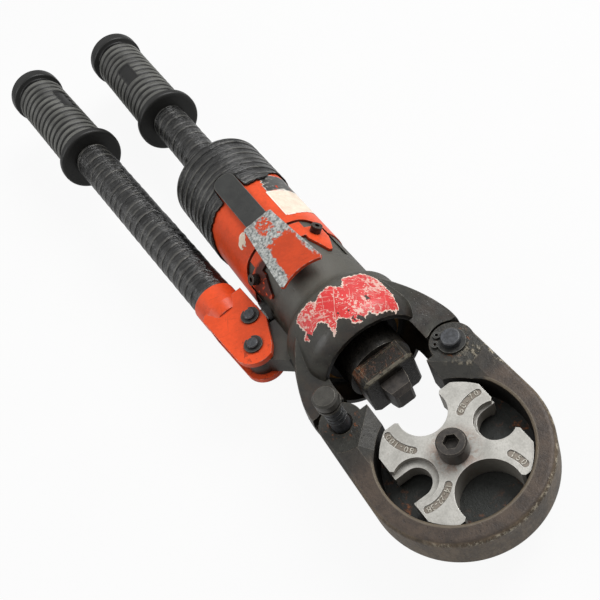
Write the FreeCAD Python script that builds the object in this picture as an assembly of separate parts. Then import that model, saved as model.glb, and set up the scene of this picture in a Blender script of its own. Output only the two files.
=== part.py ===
import FreeCAD, Part
import math
import os

# Hydraulic crimping tool with a swing-open head and a rotary die.
# Millimetres. Origin: where the die axis meets the flat back face of the head.
# +X runs from the ram to the rounded tip of the head, +Z up along the die axis.

# Rotary die
die_radius = 31.6
die_thickness = 13.0
die_flat_distance = 26.3
die_bore_radius = 6.1
notch_distances = {"west": 22.7, "east": 23.0, "north": 20.9, "south": 20.1}
notch_radii = {"west": 11.0, "east": 14.0, "north": 9.0, "south": 9.8}
nest_radii = {"north": 7.8, "south": 6.6}
nest_width = 7.0
notch_flare = 1.2
number_pocket_radii = {"west": 17.6, "east": 18.0, "north": 14.9, "south": 13.8}
number_pocket_starts = {"west": 87.0, "east": 92.0, "north": 80.0, "south": 75.0}
number_pocket_ends = {"west": 132.0, "east": 114.0, "north": 125.0, "south": 132.0}
number_pocket_width = 3.3
number_pocket_depth = 0.5
detent_circle_radius = 19.0
detent_ball_radius = 2.0
detent_bore_radius = 2.15
detent_bore_floor = 1.2

# Die screw and bush
screw_shank_radius = 4.0
screw_head_radius = 6.5
screw_head_height = 8.3
screw_head_chamfer = 0.7
screw_socket_across_flats = 6.0
screw_socket_depth = 4.0
screw_hole_floor = 0.8
bush_radius = 6.0
bush_end_play = 0.15

# Head frame
head_floor_thickness = 5.7
die_floor_gap = 0.3
head_rim_above_die = 2.5
head_outer_radius = 41.5
head_centre_x = -1.0
head_edge_round = 2.6
lug_edge_round = 1.2
cavity_radius = 33.2
cavity_clearance = 0.3
cavity_edge_break = 0.8
floor_edge_x = -22.0
floor_slot_margin = 1.5
arm_knee_x = -28.0
arm_inner_half_width = 31.0
arm_toe_x = -38.4
arm_toe_half_width = 19.8
arm_window_half_width = 16.2
arm_facet_slope = 0.47
arm_shoulder_slope = 0.69
arm_facet_reach = 15.0
spot_face_radius = 14.0
spot_face_depth = 0.6

# Pins that join the head to the casting
pin_x = -40.8
pin_half_spacing = 30.15
pin_radius = 4.5
pin_hole_clearance = 0.05
latch_hole_clearance = 0.1
lug_radius = 10.3
tongue_radius = 10.0
tongue_thickness = 10.0
tongue_side_gap = 0.25
tongue_end_gap = 0.6
tongue_inner_y = 16.2
tongue_corner_x = -40.0
tongue_slope_x = -38.2
tongue_slope_y = 19.1
tongue_root_x = -55.8
head_swing_limit = 70.0
hinge_head_radius = 6.3
hinge_head_thickness = 2.2
hinge_pin_stand_out = 4.1
circlip_thickness = 1.1
circlip_width = 2.4
circlip_groove_depth = 0.4
circlip_gap = 3.2
circlip_eye_radius = 1.75
circlip_eye_hole_radius = 0.75
circlip_eye_half_spacing = 2.4
latch_knob_height = 8.2
latch_knob_radius = 5.6
latch_knob_gap = 0.4
latch_lift_clearance = 0.6
latch_bottom_inset = 0.4
latch_ring_wire = 0.9
latch_mouth_radius = 5.3
latch_mouth_depth = 1.0

# Casting
barrel_radius = 25.3
bulge_radius = 30.6
bulge_rear_x = -98.0
bulge_full_x = -88.0
bulge_front_x = -71.0
bulge_shoulder_round = 0.9
casting_mouth_x = -62.0
mouth_rim_radius = 26.4
mouth_bore_radius = 24.4
yoke_face_x = -49.8
yoke_face_half_width = 40.4
spigot_front_x = -129.0
spigot_rear_x = -162.0
spigot_radius = 24.7

# Ram, punch and return spring
ram_radius = 16.0
ram_piston_radius = 18.0
ram_piston_length = 7.0
running_fit = 0.05
ram_stroke = 17.0
ram_end_gap = 0.5
cylinder_end_x = -108.5
ram_rear_gap = 1.0
gland_length = 8.0
gland_outer_radius = 22.0
block_rear_x = -56.5
block_front_x = -45.7
block_half_width = 13.2
block_half_height = 12.5
block_corner = 2.2
punch_tip_x = -36.3
punch_root_half_width = 6.3
punch_tip_half_width = 4.6
punch_half_height = 6.5
punch_tip_break = 1.2
punch_screw_radius = 2.0
block_top_rim = 1.4
block_front_chamfer = 0.9
block_top_recess = 0.4
spring_bore_radius = 9.0
spring_bore_end_x = -66.0
return_spring_radius = 6.6
return_spring_wire = 1.1
return_spring_turns = 14
seal_width = 2.6
seal_depth = 1.9
seal_end_gap = 0.05

# Pump
fulcrum_x = -103.5
fulcrum_distance = 15.05
fulcrum_y = -barrel_radius - fulcrum_distance
drive_offset_x = -15.7
drive_offset_y = 7.0
plunger_offset_x = -16.4
plunger_radius = 5.0
plunger_inner_y = -8.5
plunger_chamber_y = -4.0
plunger_seal_start = 2.2
plunger_seal_width = 2.0
plunger_seal_depth = 1.2
clevis_half_length = 7.2
clevis_half_depth = 5.8
clevis_half_thickness = 5.4
slot_half_travel = 0.95
slot_clearance = 0.2
pump_gland_radius = 8.3
pump_gland_inner_y = -17.0
pump_gland_stand_out = 1.2
lever_pin_radius = 3.0
lever_pin_stand_out = 2.6
lever_clip_radius = 4.7
lever_clip_thickness = 0.9
lever_clip_groove = 0.5
fulcrum_lug_radius = 8.0
fulcrum_lug_half_thickness = 5.6
fulcrum_lug_root_y = -18.0
fulcrum_lug_web_offset = 19.0
fulcrum_lug_corner_offset = (17.0, 9.0)
valve_bore_radius = 3.2
valve_ball_radius = 2.6
suction_seat_distance = 9.0
suction_ball_gap = 0.1
suction_spring_gap = 0.2
valve_port_radius = 1.6
valve_spring_length = 6.0
valve_spring_wire = 0.4
valve_spring_gap = 0.8
valve_spring_turns = 5

# Pump lever
lever_close_angle = 3.5
lever_rise_angle = 1.4
ear_half_height = 9.0
ear_thickness = 3.2
ear_inner_edge = 13.5
ear_outer_edge = -11.6
ear_tip_radius = 10.7
ear_rear_distance = 34.0
ear_rear_round = 4.0
web_front_distance = 26.5
web_inner_edge = 12.2
socket_radius = 11.7
socket_front_distance = 30.0
socket_rear_distance = 44.5
lever_flange_distance = 196.4

# Handle tubes, tape and grips
tube_radius = 9.5
tube_wall = 1.6
tape_thickness = 1.5
fixed_flange_x = -292.7
grip_flange_radius = 19.5
grip_flange_thickness = 5.5
grip_base_radius = 14.4
grip_rib_radius = 15.6
grip_rib_count = 13
grip_rib_start = 9.0
grip_rib_end = 83.0
grip_cap_radius = 17.1
grip_cap_start = 86.0
grip_length = 95.5
grip_end_wall = 4.0
seat_gap = 0.02

# Reservoir
sleeve_radius = 26.0
sleeve_rear_x = -218.0
scallop_x = -141.0
scallop_half_width = 23.1
scallop_corner = 8.0
end_cap_length = 6.0
end_cap_neck_x = -232.0
end_cap_neck_radius = 13.0
reservoir_tape_front_x = -187.0
reservoir_tape_thickness = 1.2
bladder_radius = 21.5
bladder_front_x = -166.0
bladder_rear_x = -210.0
bladder_wall = 2.0
filler_plug_x = -206.0
filler_plug_radius = 3.2
filler_plug_stand_out = 3.0
filler_plug_angle = 128.0

# Release lever on its bracket, rolled a little towards the pump lever
release_roll = 6.0
bracket_thickness = 1.4
bracket_rear_x = -139.0
bracket_front_x = -128.5
bracket_screw_x = -129.5
bracket_screw_angle = 45.0
bracket_tip_reach = 14.5
bracket_tip_x = spigot_front_x + bracket_tip_reach
bracket_point_length = 11.0
bracket_shoulder_x = bracket_tip_x - bracket_point_length
bracket_half_width = 15.5
bracket_tab_half_width = 6.0
bracket_screw_radius = 1.5
bracket_screw_head_radius = 2.8
bracket_screw_head_height = 3.4
bracket_socket_across_flats = 2.5
bracket_socket_floor = 1.6
bracket_ear_y = 5.0
bracket_ear_thickness = 1.5
release_pivot_x = -136.0
release_pivot_height = 27.7
release_pivot_radius = 1.25
release_plate_rear_x = -146.0
release_plate_front_x = -102.0
release_plate_rear_height = 28.8
release_plate_front_height = 31.4
release_plate_thickness = 1.8
release_plate_rear_half_width = 8.6
release_plate_front_half_width = 12.0
release_flap_length = 4.5
release_flap_drop = 1.2
release_front_hollow_radius = 22.0
release_front_hollow_depth = 3.2
release_cheek_y = 7.4
release_cheek_thickness = 1.2
release_press_limit = 5.0
valve_bottom_room = 0.5
valve_pin_reach = 20.0
valve_pin_x = release_pivot_x + valve_pin_reach
valve_pin_radius = 2.0
valve_pin_head_radius = 3.4
valve_pin_head_height = 1.4
valve_pin_top_gap = 0.15
valve_pin_bottom_height = 13.0
release_spring_radius = 3.1
release_spring_wire = 0.45
release_spring_turns = 6
valve_spring_seat_height = 18.0
valve_spring_bore_radius = 4.2
strap_half_width = 6.3
strap_thickness = 1.2
strap_rear_x = -194.0

# Reach of the tools that cut right through a piece
cutter_reach = 60.0

# Worked-out places
axis_z = head_floor_thickness + die_floor_gap + die_thickness / 2
die_bottom_z = axis_z - die_thickness / 2
die_top_z = axis_z + die_thickness / 2
head_top_z = die_top_z + head_rim_above_die
lug_top_z = head_top_z - spot_face_depth
cheek_flare = [(-96.0, 25.0), (-88.0, 29.0), (-80.0, 32.4), (-66.0, 37.8), (-57.0, 40.0),
               (yoke_face_x, yoke_face_half_width)]
cheek_top = [(-97.0, axis_z + 22.5), (-84.0, axis_z + 20.0), (-72.0, head_top_z + 5.2),
             (-63.0, head_top_z + 1.2), (-56.0, head_top_z)]
cheek_underside = [(-97.0, axis_z - 22.5), (-84.0, axis_z - 20.0), (-72.0, -5.2), (-63.0, -1.2),
                   (-56.0, 0.0)]
cavity_x = die_radius + cavity_clearance - cavity_radius
tongue_bottom_z = axis_z - 1.5 - tongue_thickness / 2
tongue_top_z = tongue_bottom_z + tongue_thickness
drive_x = fulcrum_x + drive_offset_x
drive_y = fulcrum_y + drive_offset_y
plunger_x = fulcrum_x + plunger_offset_x
latch_ring_z = (tongue_top_z + lug_top_z - latch_mouth_depth) / 2
latch_travel = tongue_top_z - latch_bottom_inset + latch_lift_clearance
taped_radius = tube_radius + tape_thickness
suction_ball_rear_x = plunger_x - suction_seat_distance - suction_ball_gap - 2 * valve_ball_radius
bracket_inner_radius = spigot_radius + 0.05
valve_pin_travel = (valve_pin_x - release_pivot_x) * math.radians(release_press_limit)
valve_bore_bottom = valve_pin_bottom_height - valve_pin_travel - valve_bottom_room
ram_rear_x = cylinder_end_x + ram_rear_gap
gland_seat_x = ram_rear_x + ram_piston_length + ram_stroke + ram_end_gap + gland_length

up = FreeCAD.Vector(0, 0, 1)
along_x = FreeCAD.Vector(1, 0, 0)
along_y = FreeCAD.Vector(0, 1, 0)


def point(x, y, z):
    return FreeCAD.Vector(x, y, z)


def rod(radius, start, end):
    """Round bar between two points."""
    return Part.makeCylinder(radius, (end - start).Length, start, end - start)


def pipe(outer, inner, start, end):
    """Round bar with a hole through it."""
    return rod(outer, start, end).cut(rod(inner, start, end))


def block(x0, x1, y0, y1, z0, z1):
    return Part.makeBox(x1 - x0, y1 - y0, z1 - z0, point(x0, y0, z0))


def plate(outline, z0, z1):
    """Outline of x, y points raised from z0 to z1."""
    corners = [point(x, y, z0) for x, y in outline]
    wire = Part.makePolygon(corners + [corners[0]])
    return Part.Face(wire).extrude(point(0, 0, z1 - z0))


def hexagon(across_flats, x):
    """Outline of a socket centred on y = 0."""
    corner = across_flats / 2 / math.cos(math.radians(30))
    turns = [math.radians(60 * i) for i in range(6)]
    return [(x + corner * math.cos(turn), corner * math.sin(turn)) for turn in turns]


def axial(x, radius=0.0, angle=0.0):
    """Point at a radius from the ram axis; the angle runs from up towards the pump lever."""
    turn = math.radians(angle)
    return point(x, -radius * math.sin(turn), axis_z + radius * math.cos(turn))


def turned(profile):
    """Solid of revolution about the ram axis from x, radius points."""
    corners = [point(x, 0, axis_z + r) for x, r in profile]
    wire = Part.makePolygon(corners + [corners[0]])
    return Part.Face(wire).revolve(axial(0), along_x, 360)


def smooth_line(places, start_way=None, end_way=None):
    """Smooth curve through the places, with its end directions where they are given."""
    curve = Part.BSplineCurve()
    if start_way is None:
        curve.interpolate(places)
    else:
        curve.interpolate(places, InitialTangent=start_way, FinalTangent=end_way)
    return curve.toShape()


def closed_face(edges):
    """Face inside a chain of edges, closed with straight lines from its end back to its start."""
    return Part.Face(Part.Wire(Part.__sortEdges__(edges)))


def join(*solids):
    first = solids[0]
    return first.multiFuse(list(solids[1:])).removeSplitter()


def coil(radius, wire, height, turns, base, direction):
    """Coil spring with its axis from base along direction."""
    pitch = (height - 2 * wire) / turns
    helix = Part.makeHelix(pitch, pitch * turns, radius)
    section = Part.Wire(Part.makeCircle(wire, point(radius, 0, 0), along_y))
    solid = Part.Wire(helix.Edges).makePipeShell([section], True, True)
    solid.translate(point(0, 0, wire))
    turn = FreeCAD.Rotation(up, direction)
    solid.Placement = FreeCAD.Placement(base, turn).multiply(solid.Placement)
    return solid


def about_lever(solid):
    """Turn a lever piece that was drawn straight back from the fulcrum to its rest angle."""
    solid.rotate(point(fulcrum_x, fulcrum_y, 0), up, lever_close_angle)
    return solid


def risen(solid):
    """Tip a piece of the lever's handle up from the front of its socket."""
    solid.rotate(point(fulcrum_x - socket_front_distance, fulcrum_y, axis_z), along_y, lever_rise_angle)
    return solid


def rolled(solid):
    """Roll a release piece about the ram axis."""
    solid.rotate(axial(0), along_x, release_roll)
    return solid


# Rotary die and its screw


def notch_cutter(side):
    """Notch that opens towards +X: round bottom, straight mouth and a flare at the flat."""
    distance = notch_distances[side]
    radius = notch_radii[side]
    reach = die_radius + 2
    low = die_bottom_z - 1
    high = die_top_z + 1
    half = radius
    chord_x = die_flat_distance - notch_flare
    if chord_x > distance:
        half = math.sqrt(radius ** 2 - (chord_x - distance) ** 2)
    flare = [(chord_x, -half), (die_flat_distance, -half - notch_flare), (reach, -half - notch_flare)]
    mouth = plate(flare + [(x, -y) for x, y in reversed(flare)], low, high)
    bowl = rod(radius, point(distance, 0, low), point(distance, 0, high))
    if side not in nest_radii:
        return join(bowl, mouth)
    nest = nest_radii[side]
    web = nest_width / 2
    nest_plate = block(distance, reach, -nest, nest, low, high)
    upper = join(bowl, mouth).cut(block(-reach, reach, -reach, reach, axis_z - web, axis_z + web))
    through = rod(nest, point(distance, 0, low), point(distance, 0, high))
    return join(upper, join(through, nest_plate))


def number_pocket(side):
    """Round-ended pocket that follows the notch, for the notch's size number."""
    radius = number_pocket_radii[side]
    start = number_pocket_starts[side]
    turn = number_pocket_ends[side] - start
    half = number_pocket_width / 2
    centre = point(notch_distances[side], 0, die_top_z - number_pocket_depth)
    high = number_pocket_depth + 1
    ring = Part.makeCylinder(radius + half, high, centre, up, turn)
    ring = ring.cut(Part.makeCylinder(radius - half, high, centre, up, 360))
    ring.rotate(centre, up, start)
    ends = []
    for angle in (start, start + turn):
        way = point(math.cos(math.radians(angle)), math.sin(math.radians(angle)), 0)
        end = centre + way * radius
        ends.append(rod(half, end, end + up * high))
    return join(ring, *ends)


def rotary_die():
    disc = rod(die_radius, point(0, 0, die_bottom_z), point(0, 0, die_top_z))
    flats = block(-die_flat_distance, die_flat_distance, -die_flat_distance, die_flat_distance,
                  die_bottom_z, die_top_z)
    body = disc.common(flats)
    sides = (("east", 0), ("north", 90), ("west", 180), ("south", 270))
    for side, angle in sides:
        for cutter in (notch_cutter(side), number_pocket(side)):
            cutter.rotate(point(0, 0, 0), up, angle)
            body = body.cut(cutter)
    return body.cut(rod(die_bore_radius, point(0, 0, die_bottom_z - 1), point(0, 0, die_top_z + 1)))


def die_screw():
    head_z = die_top_z + bush_end_play
    shank = rod(screw_shank_radius, point(0, 0, screw_hole_floor + 0.2), point(0, 0, head_z))
    head = rod(screw_head_radius, point(0, 0, head_z), point(0, 0, head_z + screw_head_height))
    top_edges = [e for e in head.Edges if abs(e.CenterOfMass.z - head_z - screw_head_height) < 0.01]
    head = head.makeChamfer(screw_head_chamfer, top_edges)
    socket_z = head_z + screw_head_height - screw_socket_depth
    socket = plate(hexagon(screw_socket_across_flats, 0), socket_z, head_z + screw_head_height + 1)
    return join(shank, head.cut(socket))


def die_bush():
    low = head_floor_thickness
    return pipe(bush_radius, screw_shank_radius + seat_gap, point(0, 0, low),
                point(0, 0, die_top_z + bush_end_play))


# Head frame


def head_outline():
    """Outer tangent outline of the rounded end and the two lugs."""
    dx = pin_x - head_centre_x
    distance = math.hypot(dx, pin_half_spacing)
    turn = math.atan2(pin_half_spacing, dx) - math.acos((head_outer_radius - lug_radius) / distance)
    big = point(head_centre_x + head_outer_radius * math.cos(turn), head_outer_radius * math.sin(turn), 0)
    lug = point(pin_x + lug_radius * math.cos(turn), pin_half_spacing + lug_radius * math.sin(turn), 0)
    big_low = point(big.x, -big.y, 0)
    lug_low = point(lug.x, -lug.y, 0)
    side = pin_x - lug_radius
    left = point(side, pin_half_spacing, 0)
    left_low = point(side, -pin_half_spacing, 0)
    diagonal = lug_radius * math.sqrt(0.5)
    shoulder = point(pin_x - diagonal, pin_half_spacing + diagonal, 0)
    shoulder_low = point(pin_x - diagonal, -pin_half_spacing - diagonal, 0)
    edges = [
        Part.Arc(big_low, point(head_centre_x + head_outer_radius, 0, 0), big).toShape(),
        Part.LineSegment(big, lug).toShape(),
        Part.Arc(lug, shoulder, left).toShape(),
        Part.LineSegment(left, left_low).toShape(),
        Part.Arc(left_low, shoulder_low, lug_low).toShape(),
        Part.LineSegment(lug_low, big_low).toShape(),
    ]
    return Part.Face(Part.Wire(edges))


def head_blank():
    """Head plate with its outer edges rounded, before any opening is cut."""
    solid = head_outline().extrude(point(0, 0, head_top_z))
    rounded = []
    for edge in solid.Edges:
        centre = edge.CenterOfMass
        flat = abs(edge.BoundBox.ZMax - edge.BoundBox.ZMin) < 0.001
        across = abs(centre.y) < 1 and centre.x < pin_x
        if flat and not across:
            rounded.append(edge)
    return solid.makeFillet(head_edge_round, rounded)


def fork_cutter(sign):
    """Room for one casting tongue between the two ears, over the whole swing."""
    low = tongue_bottom_z - tongue_side_gap
    high = tongue_top_z + tongue_side_gap
    centre_y = sign * pin_half_spacing
    round_end = rod(tongue_radius + tongue_end_gap, point(pin_x, centre_y, low),
                    point(pin_x, centre_y, high))
    inner = sign * (tongue_inner_y - 1)
    outer = sign * (pin_half_spacing + lug_radius + 5)
    bar = block(pin_x - 30, pin_x, min(inner, outer), max(inner, outer), low, high)
    cutter = join(round_end, bar)
    if sign < 0:
        return cutter
    edge = pin_half_spacing + tongue_radius + tongue_end_gap
    swept = [block(pin_x - 30, pin_x, pin_half_spacing - tongue_radius, edge, low, high) for _ in range(3)]
    for step, bar in enumerate(swept):
        bar.rotate(point(pin_x, centre_y, 0), up, -head_swing_limit * (step + 1) / 3)
    return join(cutter, *swept)


def slope_above(start, ridge, inward, slope):
    """Everything above a plane that falls inward from a ridge on the head's top face."""
    reach = arm_facet_reach
    drop = inward * reach - up * slope * reach
    foot = start - ridge * cutter_reach
    corners = [foot, foot + drop, foot + inward * reach + up * 10, foot + up * 10]
    wire = Part.makePolygon(corners + [corners[0]])
    return Part.Face(wire).extrude(ridge * 2 * cutter_reach)


def arm_facet(sign):
    """Sloping inner side of one arm, between its ridges and the die cavity."""
    toe = point(arm_toe_x, sign * arm_toe_half_width, head_top_z)
    knee = point(arm_knee_x, sign * arm_inner_half_width, head_top_z)
    ridge = (knee - toe).normalize()
    inward = point(abs(ridge.y), -sign * abs(ridge.x), 0)
    facet = slope_above(toe, ridge, inward, arm_facet_slope)
    shoulder = slope_above(knee, along_x, point(0, -sign, 0), arm_shoulder_slope)
    return facet.common(shoulder)


def head_frame():
    body = head_blank()
    low = -1
    high = head_top_z + 1
    window = [(pin_x - 20, -pin_half_spacing), (pin_x, -pin_half_spacing), (pin_x, -arm_window_half_width),
              (cavity_x - 14, -arm_window_half_width)]
    window = window + [(x, -y) for x, y in reversed(window)]
    through = plate(window, low, high)
    for sign in (1, -1):
        body = body.cut(arm_facet(sign))
    behind_floor = block(-200, floor_edge_x, -60, 60, low, high)
    above_floor = block(-200, 60, -60, 60, head_floor_thickness, high)
    cavity = rod(cavity_radius, point(cavity_x, 0, low), point(cavity_x, 0, high))
    opening = join(through, cavity)
    body = body.cut(through.common(behind_floor))
    body = body.cut(opening.common(above_floor))
    cable_x = -notch_distances["west"]
    cable_radius = notch_radii["west"] + floor_slot_margin
    cable_bowl = rod(cable_radius, point(cable_x, 0, low), point(cable_x, 0, high))
    cable_mouth = block(floor_edge_x - 10, cable_x, -cable_radius, cable_radius, low, high)
    body = body.cut(join(cable_bowl, cable_mouth))
    bevel = Part.makeCone(cavity_radius, cavity_radius + cavity_edge_break, cavity_edge_break,
                          point(cavity_x, 0, head_top_z - cavity_edge_break), up)
    body = body.cut(bevel)
    for sign in (1, -1):
        lug = rod(lug_radius, point(pin_x, sign * pin_half_spacing, 0),
                  point(pin_x, sign * pin_half_spacing, head_top_z))
        rims = [e for e in lug.Edges if e.BoundBox.ZMax - e.BoundBox.ZMin < 0.01]
        body = join(body, lug.makeFillet(lug_edge_round, rims))
    for sign in (1, -1):
        body = body.cut(fork_cutter(sign))
        body = body.cut(rod(spot_face_radius, point(pin_x, sign * pin_half_spacing, lug_top_z),
                            point(pin_x, sign * pin_half_spacing, high)))
    hinge_hole = rod(pin_radius + pin_hole_clearance, point(pin_x, pin_half_spacing, low),
                     point(pin_x, pin_half_spacing, high))
    counterbore = rod(hinge_head_radius + 0.1, point(pin_x, pin_half_spacing, low),
                      point(pin_x, pin_half_spacing, hinge_head_thickness + 0.1))
    latch_hole = rod(pin_radius + latch_hole_clearance, point(pin_x, -pin_half_spacing, low),
                     point(pin_x, -pin_half_spacing, high))
    latch_mouth = rod(latch_mouth_radius, point(pin_x, -pin_half_spacing, lug_top_z - latch_mouth_depth),
                      point(pin_x, -pin_half_spacing, high))
    ring_z = latch_ring_z
    ring_groove = pipe(pin_radius + 0.06 + 2 * latch_ring_wire, pin_radius,
                       point(pin_x, -pin_half_spacing, ring_z - latch_ring_wire),
                       point(pin_x, -pin_half_spacing, ring_z + latch_ring_wire))
    screw_hole = rod(screw_shank_radius + seat_gap, point(0, 0, screw_hole_floor), point(0, 0, high))
    detent = math.sqrt(0.5) * detent_circle_radius
    detent_hole = rod(detent_bore_radius, point(detent, detent, detent_bore_floor),
                      point(detent, detent, high))
    for hole in (hinge_hole, counterbore, latch_hole, latch_mouth, ring_groove, screw_hole, detent_hole):
        body = body.cut(hole)
    return body


def latch_ring():
    """Round rubber ring that grips the latch pin."""
    ring_z = latch_ring_z
    middle = pin_radius + 0.06 + latch_ring_wire
    return Part.makeTorus(middle, latch_ring_wire - 0.02, point(pin_x, -pin_half_spacing, ring_z), up)


def detent_ball():
    detent = math.sqrt(0.5) * detent_circle_radius
    top = die_bottom_z - 0.05
    return Part.makeSphere(detent_ball_radius, point(detent, detent, top - detent_ball_radius))


# Hinge pin and latch pin


def hinge_pin():
    centre = (pin_x, pin_half_spacing)
    top = head_top_z + hinge_pin_stand_out
    shank = rod(pin_radius, point(*centre, 0.1), point(*centre, top))
    edge = [e for e in shank.Edges if abs(e.CenterOfMass.z - top) < 0.01]
    shank = shank.makeChamfer(0.5, edge)
    head = rod(hinge_head_radius, point(*centre, 0.1), point(*centre, hinge_head_thickness))
    groove_low = lug_top_z + 0.1
    groove = pipe(pin_radius + 1, pin_radius - circlip_groove_depth, point(*centre, groove_low),
                  point(*centre, groove_low + circlip_thickness + 0.1))
    return join(shank.cut(groove), head)


def hinge_circlip():
    """Spring ring with two eyes that point towards the fixed handle."""
    centre = point(pin_x, pin_half_spacing, 0)
    low = lug_top_z + 0.15
    high = low + circlip_thickness
    inner = pin_radius - circlip_groove_depth + 0.02
    ring = pipe(inner + circlip_width, inner, centre + up * low, centre + up * high)
    gap = block(pin_x - 20, pin_x, pin_half_spacing - circlip_gap / 2, pin_half_spacing + circlip_gap / 2,
                low, high)
    ring = ring.cut(gap)
    reach = inner + circlip_width + 0.4
    for sign in (1, -1):
        eye_x = pin_x - reach
        eye_y = pin_half_spacing + sign * circlip_eye_half_spacing
        eye = pipe(circlip_eye_radius, circlip_eye_hole_radius, point(eye_x, eye_y, low),
                   point(eye_x, eye_y, high))
        bridge = block(eye_x + 0.9, pin_x - inner - 0.2, eye_y - 0.8, eye_y + 0.8, low, high)
        ring = join(ring, eye, bridge)
    ring.rotate(centre, up, 45)
    return ring


def latch_pin():
    centre = (pin_x, -pin_half_spacing)
    low = latch_bottom_inset + latch_travel
    shaft_top = head_top_z + latch_knob_gap + latch_travel
    shaft = rod(pin_radius, point(*centre, low), point(*centre, shaft_top))
    edge = [e for e in shaft.Edges if abs(e.CenterOfMass.z - low) < 0.01]
    shaft = shaft.makeChamfer(0.8, edge)
    for step in range(3):
        groove_z = shaft_top - 3.0 - 3.2 * step
        groove = pipe(pin_radius + 1, pin_radius - 0.5, point(*centre, groove_z - 0.6),
                      point(*centre, groove_z + 0.6))
        shaft = shaft.cut(groove)
    return shaft


def latch_knob():
    """Chamfered cap that is pulled to free the head."""
    centre = (pin_x, -pin_half_spacing)
    low = head_top_z + latch_knob_gap + latch_travel
    knob = rod(latch_knob_radius, point(*centre, low), point(*centre, low + latch_knob_height))
    edges = [e for e in knob.Edges if e.BoundBox.ZMax - e.BoundBox.ZMin < 0.01]
    knob = knob.makeChamfer(1.0, edges)
    waist = pipe(latch_knob_radius + 1, latch_knob_radius - 0.9, point(*centre, low + 2.2),
                 point(*centre, low + 3.6))
    return knob.cut(waist)


# Casting


def casting_envelope():
    """Barrel that swells into the bulge and rounds off to the mouth."""
    middle_x = (bulge_rear_x + bulge_full_x) / 2
    middle_radius = (barrel_radius + bulge_radius) / 2
    swell = smooth_line([axial(bulge_rear_x, barrel_radius), axial(middle_x, middle_radius),
                         axial(bulge_full_x, bulge_radius)], along_x, along_x)
    shoulder_x = (bulge_front_x + casting_mouth_x) / 2
    shoulder_radius = (bulge_radius + mouth_rim_radius) / 2 + bulge_shoulder_round
    nose = smooth_line([axial(bulge_front_x, bulge_radius), axial(shoulder_x, shoulder_radius),
                        axial(casting_mouth_x, mouth_rim_radius)], along_x, point(1, 0, -1))
    lines = [(axial(casting_mouth_x, mouth_rim_radius), axial(casting_mouth_x)),
             (axial(casting_mouth_x), axial(spigot_front_x)),
             (axial(spigot_front_x), axial(spigot_front_x, barrel_radius)),
             (axial(spigot_front_x, barrel_radius), axial(bulge_rear_x, barrel_radius)),
             (axial(bulge_full_x, bulge_radius), axial(bulge_front_x, bulge_radius))]
    edges = [Part.LineSegment(a, b).toShape() for a, b in lines]
    return closed_face(edges + [swell, nose]).revolve(axial(0), along_x, 360)


def casting_cheeks():
    """Flare from the bulge out to the two tongues."""
    flare_line = smooth_line([axial(x, radius) for x, radius in cheek_flare])
    rear_x, rear_radius = cheek_flare[0]
    front_x, front_radius = cheek_flare[-1]
    lines = [(axial(front_x, front_radius), axial(front_x)), (axial(front_x), axial(rear_x)),
             (axial(rear_x), axial(rear_x, rear_radius))]
    edges = [Part.LineSegment(a, b).toShape() for a, b in lines]
    flare = closed_face(edges + [flare_line]).revolve(axial(0), along_x, 360)
    side = -cutter_reach
    top = smooth_line([point(x, side, z) for x, z in cheek_top])
    under = smooth_line([point(x, side, z) for x, z in cheek_underside])
    corners = [point(cheek_top[-1][0], side, cheek_top[-1][1]), point(yoke_face_x, side, head_top_z),
               point(yoke_face_x, side, 0), point(cheek_underside[-1][0], side, cheek_underside[-1][1])]
    sides = [Part.LineSegment(a, b).toShape() for a, b in zip(corners[:-1], corners[1:])]
    rear = Part.LineSegment(point(cheek_top[0][0], side, cheek_top[0][1]),
                            point(cheek_underside[0][0], side, cheek_underside[0][1])).toShape()
    slab = closed_face([top, under, rear] + sides).extrude(point(0, 2 * cutter_reach, 0))
    return flare.common(slab)


def casting_tongues():
    tongues = []
    for sign in (1, -1):
        outline = [(tongue_root_x, tongue_inner_y), (tongue_corner_x, tongue_inner_y),
                   (tongue_slope_x, tongue_slope_y), (pin_x, pin_half_spacing),
                   (pin_x, pin_half_spacing + tongue_radius),
                   (tongue_root_x, pin_half_spacing + tongue_radius)]
        outline = [(x, sign * y) for x, y in outline]
        bar = plate(outline, tongue_bottom_z, tongue_top_z)
        round_end = rod(tongue_radius, point(pin_x, sign * pin_half_spacing, tongue_bottom_z),
                        point(pin_x, sign * pin_half_spacing, tongue_top_z))
        tongues.append(join(bar, round_end))
    return tongues


def fulcrum_lug():
    low = axis_z - fulcrum_lug_half_thickness
    high = axis_z + fulcrum_lug_half_thickness
    corner_x, corner_y = fulcrum_lug_corner_offset
    outline = [(fulcrum_x - fulcrum_lug_radius, fulcrum_lug_root_y),
               (fulcrum_x - fulcrum_lug_radius, fulcrum_y), (fulcrum_x + fulcrum_lug_radius, fulcrum_y),
               (fulcrum_x + corner_x, fulcrum_y + corner_y),
               (fulcrum_x + fulcrum_lug_web_offset, fulcrum_lug_root_y)]
    round_end = rod(fulcrum_lug_radius, point(fulcrum_x, fulcrum_y, low), point(fulcrum_x, fulcrum_y, high))
    return join(plate(outline, low, high), round_end)


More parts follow.
